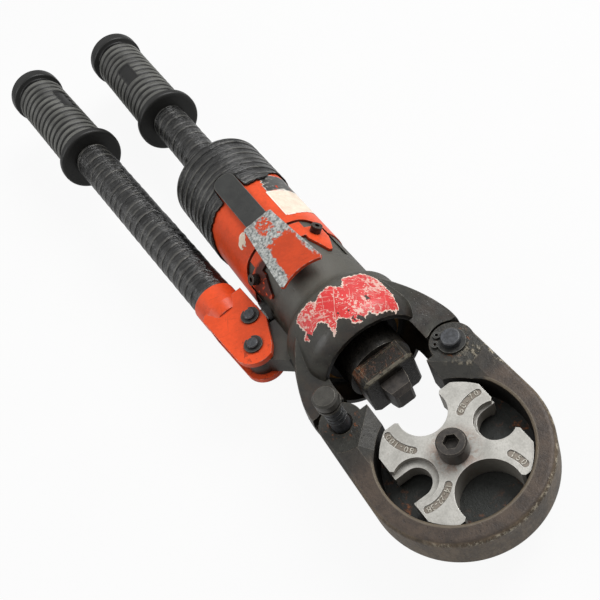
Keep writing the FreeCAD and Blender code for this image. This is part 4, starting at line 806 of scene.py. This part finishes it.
# Each number of the die: text, centre of its notch, radius of its line, and its start and end in degrees
DIE_NUMBERS = (("150", (23.0, 0.0), 18.0, 92.0, 114.0), ("80-100", (-22.7, 0.0), 17.6, 87.0, 132.0),
               ("60-70", (0.0, 20.9), 14.9, 80.0, 125.0), ("14-22-38", (0.0, -20.1), 13.8, 75.0, 132.0))
NUMERAL_SIZE = 3.7
NUMERAL_INSET = 2.5

# A lap of tape from its tucked edge to its free edge: share of the width, and how deep it lies
LAP_SECTION = ((0.0, 0.98), (0.1, 0.72), (0.3, 0.5), (0.55, 0.3), (0.8, 0.1), (0.93, 0.0), (0.985, 0.06),
               (1.0, 0.3), (1.0, 1.05))


def new_piece(name, vertices, faces, material, body, marks=None, smooth=True):
    """A piece from points in mm that rides on a body, with the numbers that its points carry."""
    mesh = bpy.data.meshes.new(name)
    mesh.from_pydata([tuple(c * MM for c in v) for v in vertices], [], faces)
    mesh.validate()
    if smooth:
        mesh.polygons.foreach_set("use_smooth", [True] * len(mesh.polygons))
    for label, values in (marks or {}).items():
        mark = mesh.attributes.new(label, "FLOAT", "POINT")
        mark.data.foreach_set("value", [float(v) for v in values])
    mesh.materials.append(material)
    mesh.update()
    piece = bpy.data.objects.new(name, mesh)
    bpy.context.scene.collection.objects.link(piece)
    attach(piece, body)
    return piece


def round_the(origin, along, distance, radius, angle):
    """Point at an angle from straight up, to the right of the way along, about a level line."""
    right = along.cross(Vector((0.0, 0.0, 1.0))).normalized()
    up = right.cross(along)
    return origin + along * distance + (up * math.cos(angle) + right * math.sin(angle)) * radius


def smooth_between(value, low, high):
    """0 at low, 1 at high and smooth between; low may be the larger of the two."""
    share = max(0.0, min(1.0, (value - low) / (high - low)))
    return share * share * (3 - 2 * share)


def half_turn(angle):
    """The same angle between minus and plus half a turn."""
    return (angle + math.pi) % TURN - math.pi


def lathe(origin, along, stations):
    """Rings of a turned piece from (distance, radius) stations; a radius may be a function of the angle."""
    vertices, faces = [], []
    for distance, radius in stations:
        for i in range(LATHE_SIDES):
            angle = TURN * i / LATHE_SIDES
            r = radius(angle) if callable(radius) else radius
            vertices.append(round_the(origin, along, distance, r, angle))
    for ring in range(len(stations) - 1):
        for i in range(LATHE_SIDES):
            j = (i + 1) % LATHE_SIDES
            a, b = ring * LATHE_SIDES, (ring + 1) * LATHE_SIDES
            faces.append((a + i, a + j, b + j, b + i))
    return vertices, faces


def grip_radius(distance, angle, panel):
    """Radius of a grip's ribbed length, with a bare panel among the ribs."""
    if distance < FIRST_RIB or distance > LAST_RIB:
        return GRIP_BASE
    panel_angle, panel_start, panel_end = panel
    phase = ((distance - FIRST_RIB) / ((LAST_RIB - FIRST_RIB) / GRIP_RIBS)) % 1.0
    wave = max(0.0, math.sin(math.pi * min(1.0, phase / RIB_SHARE))) ** 0.5 if phase < RIB_SHARE else 0.0
    bare = (smooth_between(abs(half_turn(angle - panel_angle)), 0.32, 0.26)
            * smooth_between(distance, panel_start, panel_start + 0.6)
            * smooth_between(distance, panel_end, panel_end - 0.6))
    return (GRIP_BASE + (GRIP_RIB - GRIP_BASE) * wave) * (1 - bare) + (GRIP_BASE + 0.5) * bare


def grip_stations(panel):
    """Stations of a grip from the flange's inner edge to the hollow in its end cap."""
    half = FLANGE_WIDTH / 2
    stations = [(0.05, GRIP_HOLE), (0.05, FLANGE_RADIUS - 2.6)]
    for d in np.linspace(0.12, FLANGE_WIDTH - 0.1, 18):
        stations.append((d, FLANGE_RADIUS - 1.5 * abs((d - half) / half) ** 5))
    stations += [(FLANGE_WIDTH, FLANGE_RADIUS - 2.2), (FLANGE_WIDTH + 0.25, GRIP_BASE + 1.2),
                 (FLANGE_WIDTH + 0.9, GRIP_BASE + 0.25)]
    for d in np.arange(FLANGE_WIDTH + 1.6, CAP_START - 0.9, 0.42):
        stations.append((float(d), lambda angle, d=float(d): grip_radius(d, angle, panel)))
    stations += [(CAP_START - 0.7, GRIP_BASE), (CAP_START - 0.1, GRIP_BASE + 0.5),
                 (CAP_START, CAP_RADIUS - 0.9), (CAP_START + 0.5, CAP_RADIUS - 0.2),
                 (CAP_START + 1.5, CAP_RADIUS)]
    for share in np.linspace(0.0, 1.0, 9):
        angle = share * math.pi / 2
        stations.append((GRIP_LENGTH - CAP_ROUND + CAP_ROUND * math.sin(angle),
                         CAP_RADIUS - CAP_ROUND * (1 - math.cos(angle))))
    return stations + [(GRIP_LENGTH, 9.0), (GRIP_LENGTH - 0.3, 8.4), (GRIP_LENGTH - 0.3, 0.4)]


def grip(name, origin, along, front, panel, body, node, material):
    """Moulded grip: flange, rounded ribs with a bare panel (angle, start, end) among them, domed end cap."""
    start = origin + along * front
    stations = grip_stations(panel)
    vertices, faces = lathe(start, along, stations)
    marks = []
    for v in vertices:
        local = v - start
        run = local.dot(along)
        reach = (local - along * run).length
        plain = run < FLANGE_WIDTH + 1.0 or run > CAP_START - 0.5
        marks.append(0.35 if plain else smooth_between(reach, GRIP_BASE + 0.2, GRIP_RIB - 0.05))
    tip = len(vertices)
    vertices.append(start + along * (GRIP_LENGTH - 0.3))
    last = tip - LATHE_SIDES
    faces += [(last + i, last + (i + 1) % LATHE_SIDES, tip) for i in range(LATHE_SIDES)]
    marks.append(0.0)
    piece = new_piece(name, vertices, faces, material, body, {"crest": marks})
    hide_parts(node)


def random_waves(luck, count, rates, sizes):
    """Rate, shift and size of some waves, from a seeded source."""
    return [(luck.uniform(*rates), luck.uniform(0, 6.28), luck.uniform(*sizes)) for _ in range(count)]


def wave_sum(waves, place):
    return sum(size * math.sin(rate * place + shift) for rate, shift, size in waves)


def walk(path):
    """Length of a path of (distance, radius) points, and a function for the point at a run along it."""
    lengths = [0.0]
    for (d0, r0), (d1, r1) in zip(path, path[1:]):
        lengths.append(lengths[-1] + math.hypot(d1 - d0, r1 - r0))

    def on_path(run):
        run = max(0.0, min(lengths[-1], run))
        for i in range(len(path) - 1):
            if run <= lengths[i + 1] + 1e-9:
                share = (run - lengths[i]) / max(1e-9, lengths[i + 1] - lengths[i])
                return tuple(a + (b - a) * share for a, b in zip(path[i], path[i + 1]))
        return path[-1]

    return lengths[-1], on_path


def tape_wrap(name, origin, along, path, pitch, width, start_limit, body, node, material, seed, lift=0.4,
              sides=80):
    """Lapped tape wound over a path; start_limit gives the front edge's place on the path at an angle."""
    waves = random_waves(random.Random(seed), 7, (0.15, 1.1), (0.15, 0.45))
    path_length, on_path = walk(path)
    vertices, faces, marks, tuck_shades = [], [], [], []
    rows = (int(path_length / pitch) + 2) * sides
    for row in range(rows + 1):
        angle = TURN * row / sides
        slack = 1.0 + 0.22 * math.sin(0.61 * angle + seed) * math.sin(0.17 * angle)
        centre = (angle / TURN - 1.0) * pitch + wave_sum(waves, angle)
        limit = start_limit(angle)
        for share, drop in LAP_SECTION:
            run = centre + (1.0 - share) * width * slack
            distance, radius = on_path(max(run, limit))
            vertices.append(round_the(origin, along, distance, radius - drop * lift, angle))
            # Free edge and tucked side of each lap, where the finish paints a highlight and shade.
            marks.append(1.0 if 0.9 < share and drop < 0.5 else 0.0)
            tuck_shades.append(smooth_between(share, 0.56, 0.3))
    count = len(LAP_SECTION)
    for row in range(rows):
        for k in range(count - 1):
            a, b = row * count + k, (row + 1) * count + k
            if (vertices[a] - vertices[a + 1]).length + (vertices[b] - vertices[b + 1]).length > 1e-4:
                faces.append((a, a + 1, b + 1, b))
    piece = new_piece(name, vertices, faces, material, body,
                      {"lap_edge": marks, "tuck_shade": tuck_shades})
    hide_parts(node)


def reservoir_tape_front(angle):
    """Front edge of the reservoir's tape, with a round notch under the strap's tail."""
    turn = math.degrees(half_turn(angle))
    front = 178.6 - 5.0 * smooth_between(-turn, 50.0, 85.0) + 9.0 * smooth_between(turn, 26.0, 66.0)
    front -= 9.0 * smooth_between(turn, 110.0, 170.0) + 3.5 * smooth_between(-turn, 100.0, 170.0)
    front += 0.5 * math.sin(turn * 0.3) + 0.35 * math.sin(turn * 0.83)
    off = abs(turn + 6.0) / 14.8
    if off < 1.0:
        front = 194.4 - 6.5 * (1.0 - math.sqrt(1.0 - off * off))
    return front - RESERVOIR_TAPE_PATH[0][0]


def torn_strip(name, material):
    """Rucked strip of tape along the inner side of the lever, which narrows towards the grip."""
    waves = random_waves(random.Random(12), 10, (0.05, 0.6), (0.02, 0.07))
    vertices, faces = [], []
    for distance in np.linspace(STRIP_START, STRIP_END, STRIP_ROWS):
        taper = smooth_between(distance, 193.0, 150.0)
        low = math.radians(STRIP_LOW_EDGE) + wave_sum(waves, distance)
        high = math.radians(STRIP_LOW_EDGE - 52.0 * taper - 8.0) + wave_sum(waves, distance * 1.7)
        for k in range(STRIP_COLUMNS + 1):
            share = k / STRIP_COLUMNS
            ruck = 0.16 * math.sin(distance * 0.9 + 5.0 * share) * math.sin(distance * 0.23 + 2.0)
            rise = 0.1 + 0.55 * math.sin(math.pi * share) ** 0.5 + ruck * math.sin(math.pi * share)
            vertices.append(round_the(LEVER_START, LEVER_ALONG, float(distance), STRIP_RADIUS + rise,
                                      low + (high - low) * share))
    for row in range(STRIP_ROWS - 1):
        for k in range(STRIP_COLUMNS):
            a, b = row * (STRIP_COLUMNS + 1) + k, (row + 1) * (STRIP_COLUMNS + 1) + k
            faces.append((a, a + 1, b + 1, b))
    flat = [0.0] * len(vertices)
    new_piece(name, vertices, faces, material, "pump_lever", {"lap_edge": flat, "tuck_shade": flat})


def inside_outline(x, y, outline):
    """Whether a line from the point crosses the outline an odd number of times."""
    result = False
    for (x0, y0), (x1, y1) in zip(outline, outline[1:] + outline[:1]):
        if (y0 > y) != (y1 > y) and x < (x1 - x0) * (y - y0) / (y1 - y0) + x0:
            result = not result
    return result


def outline_gap(x, y, outline):
    """Distance from the point to the nearest side of the outline."""
    best = math.inf
    for (x0, y0), (x1, y1) in zip(outline, outline[1:] + outline[:1]):
        dx, dy = x1 - x0, y1 - y0
        share = max(0.0, min(1.0, ((x - x0) * dx + (y - y0) * dy) / (dx * dx + dy * dy + 1e-9)))
        best = min(best, math.hypot(x - x0 - dx * share, y - y0 - dy * share))
    return best


def surface_finder(node):
    """Search tree of a CAD node's surface, in metres."""
    mesh = NODES[node].data
    corners = [tuple(face.vertices) for face in mesh.polygons]
    return BVHTree.FromPolygons([v.co.copy() for v in mesh.vertices], corners)


def film(name, outline, carrier, radius, lift, cell, ragged, holes, slot, seed, material):
    """Thin film lying on the carrier inside an outline of (x, degrees from the top); its border is torn."""
    finder = surface_finder(carrier)
    luck = random.Random(seed)
    flat = [(x, math.radians(angle) * radius) for x, angle in outline]
    xs, ys = zip(*flat)
    phases = [(luck.uniform(0.5, 2.4), luck.uniform(0.5, 2.4), luck.uniform(0, 6.28)) for _ in range(6)]
    spots = [(luck.uniform(min(xs), max(xs)), luck.uniform(min(ys), max(ys)), luck.uniform(0.5, 1.6))
             for _ in range(holes)]
    index, vertices, marks, faces = {}, [], [], []

    def shaken(x, y):
        dx = sum(math.sin(a * x + b * y + c) for a, b, c in phases[:3]) * ragged
        dy = sum(math.sin(a * x - b * y + c) for a, b, c in phases[3:]) * ragged
        return x + dx, y + dy

    def kept(x, y):
        torn_out = any(math.hypot(x - hx, (y - hy) * 1.5) < size for hx, hy, size in spots)
        return inside_outline(x, y, flat) and not torn_out

    def vertex(i, j):
        if (i, j) not in index:
            x, arc = min(xs) + i * cell, min(ys) + j * cell
            out = Vector((0.0, math.sin(arc / radius), math.cos(arc / radius)))
            centre = Vector((x, 0.0, AXIS_Z))
            hit = finder.ray_cast((centre + out * 60.0) * MM, -out)[0]
            reach = radius if hit is None else (hit / MM - centre).dot(out)
            index[(i, j)] = len(vertices)
            vertices.append(centre + out * (reach + lift))
            marks.append(1.0 - smooth_between(outline_gap(*shaken(x, arc), flat), 0.0, 1.6))
        return index[(i, j)]

    for i in range(int((max(xs) - min(xs)) / cell) + 1):
        for j in range(int((max(ys) - min(ys)) / cell) + 1):
            if kept(*shaken(min(xs) + (i + 0.5) * cell, min(ys) + (j + 0.5) * cell)):
                faces.append((vertex(i, j), vertex(i + 1, j), vertex(i + 1, j + 1), vertex(i, j + 1)))
    new_piece(name, vertices, faces, material, "tool_body", {"torn": marks})


def numeral_mesh(sign):
    """Points and faces of one raised sign, in mm, from a text curve that is then removed."""
    curve = bpy.data.curves.new("numeral", "FONT")
    curve.body = sign
    curve.size = NUMERAL_SIZE
    curve.align_x = curve.align_y = "CENTER"
    curve.extrude = 0.14
    curve.offset = 0.03
    holder = bpy.data.objects.new("numeral", curve)
    bpy.context.scene.collection.objects.link(holder)
    bpy.context.view_layer.update()
    mesh = holder.evaluated_get(bpy.context.evaluated_depsgraph_get()).to_mesh()
    vertices = [v.co.copy() for v in mesh.vertices]
    faces = [tuple(face.vertices) for face in mesh.polygons]
    holder.to_mesh_clear()
    bpy.data.objects.remove(holder)
    bpy.data.curves.remove(curve)
    return vertices, faces


def numerals(name, body, material):
    """Raised plain numbers in the sunk pockets of the die, read clockwise about each notch."""
    vertices, faces = [], []
    for text, (cx, cy), radius, start, stop in DIE_NUMBERS:
        heading = math.degrees(math.atan2(cy, cx))
        for position, sign in enumerate(text):
            share = position / (len(text) - 1)
            turn = math.radians(heading + stop - NUMERAL_INSET - (stop - start - 2 * NUMERAL_INSET) * share)
            facing = Matrix.Rotation(turn - math.pi / 2, 4, "Z")
            spot = Vector((cx + radius * math.cos(turn), cy + radius * math.sin(turn), NUMBER_FLOOR_Z))
            first = len(vertices)
            sign_vertices, sign_faces = numeral_mesh(sign)
            vertices += [spot + facing @ v for v in sign_vertices]
            faces += [tuple(first + i for i in face) for face in sign_faces]
    new_piece(name, vertices, faces, material, body, smooth=False)


# Stage, in metres

FLOOR_HALF = 4.0
LIT_SPOT = Vector((-0.16, -0.01, 0.0))
SIDE_LIGHT_SHARE = 0.32


def make_floor(scene):
    mesh = bpy.data.meshes.new("studio_floor")
    corners = [(x * FLOOR_HALF, y * FLOOR_HALF, FLOOR_Z) for x, y in ((-1, -1), (1, -1), (1, 1), (-1, 1))]
    mesh.from_pydata(corners, [], [(0, 1, 2, 3)])
    mesh.materials.append(floor_finish())
    floor = bpy.data.objects.new("studio_floor", mesh)
    scene.collection.objects.link(floor)


def make_world(scene, fill_light):
    """Even room light; the camera sees white, and mirrors see a bright ceiling over darker walls."""
    world = bpy.data.worlds.new("Studio")
    scene.world = world
    world.use_nodes = True
    tree = world.node_tree
    tree.nodes.clear()
    rays = tree.nodes.new("ShaderNodeLightPath").outputs
    heading = tree.nodes.new("ShaderNodeTexCoord").outputs["Generated"]
    upward = place(tree, "ShaderNodeSeparateXYZ", {0: heading}).outputs["Z"]
    overhead = between(step(upward, 0.05, 0.8), 0.3, 1.0)
    shown = either(rays["Is Glossy Ray"], rays["Is Transmission Ray"])
    strength = between(rays["Is Camera Ray"], between(shown, fill_light, overhead), 1.0)
    light = place(tree, "ShaderNodeBackground", {"Color": WHITE, "Strength": strength})
    out = tree.nodes.new("ShaderNodeOutputWorld")
    tree.links.new(light.outputs[0], out.inputs["Surface"])


def make_lamp(scene, name, spot, size, power):
    """Round soft lamp that is turned to the middle of the tool."""
    lamp = bpy.data.lights.new(name, "AREA")
    lamp.shape = "DISK"
    lamp.size = size
    lamp.energy = power
    holder = bpy.data.objects.new(name, lamp)
    scene.collection.objects.link(holder)
    holder.location = spot
    holder.rotation_mode = "QUATERNION"
    holder.rotation_quaternion = (LIT_SPOT - spot).to_track_quat("-Z", "Y")


def make_camera(scene):
    lens = bpy.data.cameras.new("Photograph camera")
    lens.sensor_width = SENSOR_WIDTH
    lens.lens = FOCAL_LENGTH_IN_PIXELS / PHOTO_WIDTH * SENSOR_WIDTH
    lens.clip_start = 0.01
    lens.clip_end = 20.0
    camera = bpy.data.objects.new("Photograph camera", lens)
    scene.collection.objects.link(camera)
    turn = Matrix((CAMERA_RIGHT, CAMERA_UP, CAMERA_BACK)).transposed().to_4x4()
    camera.matrix_world = Matrix.Translation(CAMERA_PLACE * MM) @ turn
    scene.camera = camera


# Settings


class CRIMP_PG_finish(bpy.types.PropertyGroup):
    """Colours of the crimping tool."""
    orange: FloatVectorProperty(name="Orange paint", description="Paint of the yoke, sleeve and thumb lever",
                                subtype="COLOR", size=4, min=0.0, max=1.0, default=tone(232, 82, 38))
    label: FloatVectorProperty(name="Red film", description="Worn red film on the cylinder",
                               subtype="COLOR", size=4, min=0.0, max=1.0, default=tone(216, 50, 50))
    rubber: FloatVectorProperty(name="Grip rubber", description="Charcoal rubber of both grips",
                                subtype="COLOR", size=4, min=0.0, max=1.0, default=tone(50, 50, 48))


class CRIMP_PG_wrap(bpy.types.PropertyGroup):
    """Sizes of the tape wraps."""
    pitch: FloatProperty(name="Lap pitch", description="Distance from one lap of tape to the next",
                         default=0.0065, min=0.003, max=0.012, unit="LENGTH")
    width: FloatProperty(name="Tape width", description="Width of the tape that shows and is lapped",
                         default=0.0095, min=0.004, max=0.019, unit="LENGTH")


class CRIMP_PG_studio(bpy.types.PropertyGroup):
    """Light level of the studio."""
    key: FloatProperty(name="Overhead light", description="Power of the large soft light",
                       default=11.0, min=0.0, max=100.0, unit="POWER")
    fill: FloatProperty(name="Room light", description="Strength of the even light all round",
                        default=0.3, min=0.0, max=2.0, subtype="FACTOR")


# Operators


class CRIMP_OT_groups(bpy.types.Operator):
    """Build the shader groups that the finishes share"""
    bl_idname = "crimp.groups"
    bl_label = "Shader groups"

    def execute(self, context):
        for build in (build_worn_edges, build_shade_and_dirt, build_mottle, build_cast_grain, build_specks,
                      build_rust, build_scratches):
            build()
        return {"FINISHED"}


class CRIMP_OT_metal(bpy.types.Operator):
    """Give the casting, head, die, pins and inner steel parts their finishes"""
    bl_idname = "crimp.metal"
    bl_label = "Metal finishes"

    def execute(self, context):
        dress(["cylinder_body"], casting_finish())
        dress(["head_frame"], head_finish())
        dress(["rotary_die"], die_finish())
        dress(["punch_holder"], block_finish())
        for name, (dark, light, rubbed, *amounts, nodes) in STEELS.items():
            dress(nodes, plain_steel(name, tone(*dark), tone(*light), tone(*rubbed), *amounts))
        return {"FINISHED"}


class CRIMP_OT_paint(bpy.types.Operator):
    """Give the yoke, sleeve, bracket, thumb lever, strap and rubber parts their finishes"""
    bl_idname = "crimp.paint"
    bl_label = "Paint and rubber finishes"

    def execute(self, context):
        dress(["lever_yoke", "reservoir_sleeve", "release_bracket"], paint_finish("Orange paint"))
        dress(["release_lever"], paint_finish("Rubbed orange paint", plate=True))
        dress(["cover_strap"], strap_finish())
        black = rubber_finish("Black rubber", tone(28, 28, 27), tone(46, 46, 44), 0.5)
        dress(["ram_seal", "ram_wiper", "plunger_seal", "latch_ring", "oil_bladder", "reservoir_end_cap"],
              black)
        return {"FINISHED"}


class CRIMP_OT_grips(bpy.types.Operator):
    """Build both moulded grips"""
    bl_idname = "crimp.grips"
    bl_label = "Grips"

    def execute(self, context):
        base = context.scene.crimping_tool_finish.rubber
        rubber = rubber_finish("Grip rubber", darker(base, 0.86), tuple(base), 0.42)
        dress(["lever_grip", "fixed_grip"], rubber)
        grip("lever_grip_moulding", LEVER_START, LEVER_ALONG, 196.4, (math.radians(48.0), 44.0, 66.0),
             "pump_lever", "lever_grip", rubber)
        grip("fixed_grip_moulding", TUBE_START, TUBE_ALONG, 292.7, (math.radians(-10.4), 36.0, 56.0),
             "tool_body", "fixed_grip", rubber)
        return {"FINISHED"}


class CRIMP_OT_tape(bpy.types.Operator):
    """Wind the lapped tape on the lever, the fixed tube and the reservoir"""
    bl_idname = "crimp.tape"
    bl_label = "Tape wraps"

    def execute(self, context):
        wrap = context.scene.crimping_tool_wrap
        pitch = wrap.pitch / MM
        width = wrap.width / MM
        tape = tape_finish("Black tape", tone(3, 3, 3), tone(50, 50, 49))
        dress(["lever_tape", "fixed_tape", "reservoir_tape"], tape)
        tape_wrap("lever_tape_wrap", LEVER_START, LEVER_ALONG, LEVER_TAPE_PATH, pitch, width,
                  lambda angle: 0.0, "pump_lever", "lever_tape", tape, 3)
        tape_wrap("fixed_tape_wrap", TUBE_START, TUBE_ALONG, TUBE_TAPE_PATH, pitch, width,
                  lambda angle: 0.0, "tool_body", "fixed_tape", tape, 8)
        tape_wrap("reservoir_tape_wrap", TUBE_START, TUBE_ALONG, RESERVOIR_TAPE_PATH, pitch * 0.8,
                  width * 0.9, reservoir_tape_front, "tool_body", "reservoir_tape", tape, 5,
                  lift=0.6, sides=180)
        return {"FINISHED"}


class CRIMP_OT_strip(bpy.types.Operator):
    """Lay the torn strip of tape along the inner side of the lever"""
    bl_idname = "crimp.strip"
    bl_label = "Torn strip"

    def execute(self, context):
        torn_strip("lever_torn_strip", tape_finish("Torn strip tape", tone(2, 2, 2), tone(16, 16, 16)))
        return {"FINISHED"}


class CRIMP_OT_films(bpy.types.Operator):
    """Lay the worn bare films on the cylinder and the reservoir"""
    bl_idname = "crimp.films"
    bl_label = "Films"

    def execute(self, context):
        red = context.scene.crimping_tool_finish.label
        films = {
            "cylinder_film": ("Worn red film", darker(red, 0.85), tuple(red), tone(228, 204, 190), 0.5),
            "reservoir_film": ("Cream film", tone(226, 206, 186), tone(242, 230, 212),
                               tone(246, 240, 230), 0.1),
            "reservoir_dark_film": ("Rubbed dark film", tone(40, 40, 39), tone(74, 74, 72),
                                    tone(214, 208, 198), 0.36),
            "peeled_patch": ("Peeled paint patch", tone(206, 190, 168), tone(228, 214, 194),
                             tone(236, 226, 210), 0.22),
        }
        for name, finish in films.items():
            film(name, *FILMS[name], label_finish(*finish))
        return {"FINISHED"}


class CRIMP_OT_numerals(bpy.types.Operator):
    """Set the plain size numbers into the die"""
    bl_idname = "crimp.numerals"
    bl_label = "Die numbers"

    def execute(self, context):
        numerals("die_numbers", "die", numeral_finish())
        return {"FINISHED"}


class CRIMP_OT_stage(bpy.types.Operator):
    """Make the floor, the lights and the camera"""
    bl_idname = "crimp.stage"
    bl_label = "Stage"

    def execute(self, context):
        scene = context.scene
        studio = scene.crimping_tool_studio
        make_floor(scene)
        make_world(scene, studio.fill)
        make_lamp(scene, "Overhead light", Vector((-0.2, 0.7, 0.8)), 0.7, studio.key)
        make_lamp(scene, "Side light", Vector((-0.35, -0.8, 0.62)), 0.6, studio.key * SIDE_LIGHT_SHARE)
        make_camera(scene)
        scene.view_settings.view_transform = "Standard"
        return {"FINISHED"}


class CRIMP_PT_panel(bpy.types.Panel):
    """Lists the pieces of the crimping tool in the order that they are made"""
    bl_idname = "CRIMP_PT_panel"
    bl_label = "Crimping tool"
    bl_space_type = "VIEW_3D"
    bl_region_type = "UI"
    bl_category = "Crimping tool"

    def draw(self, context):
        for group in ("crimping_tool_finish", "crimping_tool_wrap", "crimping_tool_studio"):
            settings = getattr(context.scene, group)
            for label in settings.__annotations__:
                self.layout.prop(settings, label)
        for operator in OPERATORS:
            self.layout.operator(operator.bl_idname)


SETTINGS = {"crimping_tool_finish": CRIMP_PG_finish, "crimping_tool_wrap": CRIMP_PG_wrap,
            "crimping_tool_studio": CRIMP_PG_studio}
OPERATORS = (CRIMP_OT_groups, CRIMP_OT_metal, CRIMP_OT_paint, CRIMP_OT_grips, CRIMP_OT_tape, CRIMP_OT_strip,
             CRIMP_OT_films, CRIMP_OT_numerals, CRIMP_OT_stage)
CLASSES = (*SETTINGS.values(), *OPERATORS, CRIMP_PT_panel)


def register():
    for part in CLASSES:
        bpy.utils.register_class(part)
    for label, kind in SETTINGS.items():
        setattr(bpy.types.Scene, label, PointerProperty(type=kind))


def unregister():
    for label in SETTINGS:
        delattr(bpy.types.Scene, label)
    for part in reversed(CLASSES):
        bpy.utils.unregister_class(part)


def main():
    register()
    for operator in OPERATORS:
        getattr(bpy.ops.crimp, operator.bl_idname.removeprefix("crimp."))()


if __name__ == "__main__":
    main()
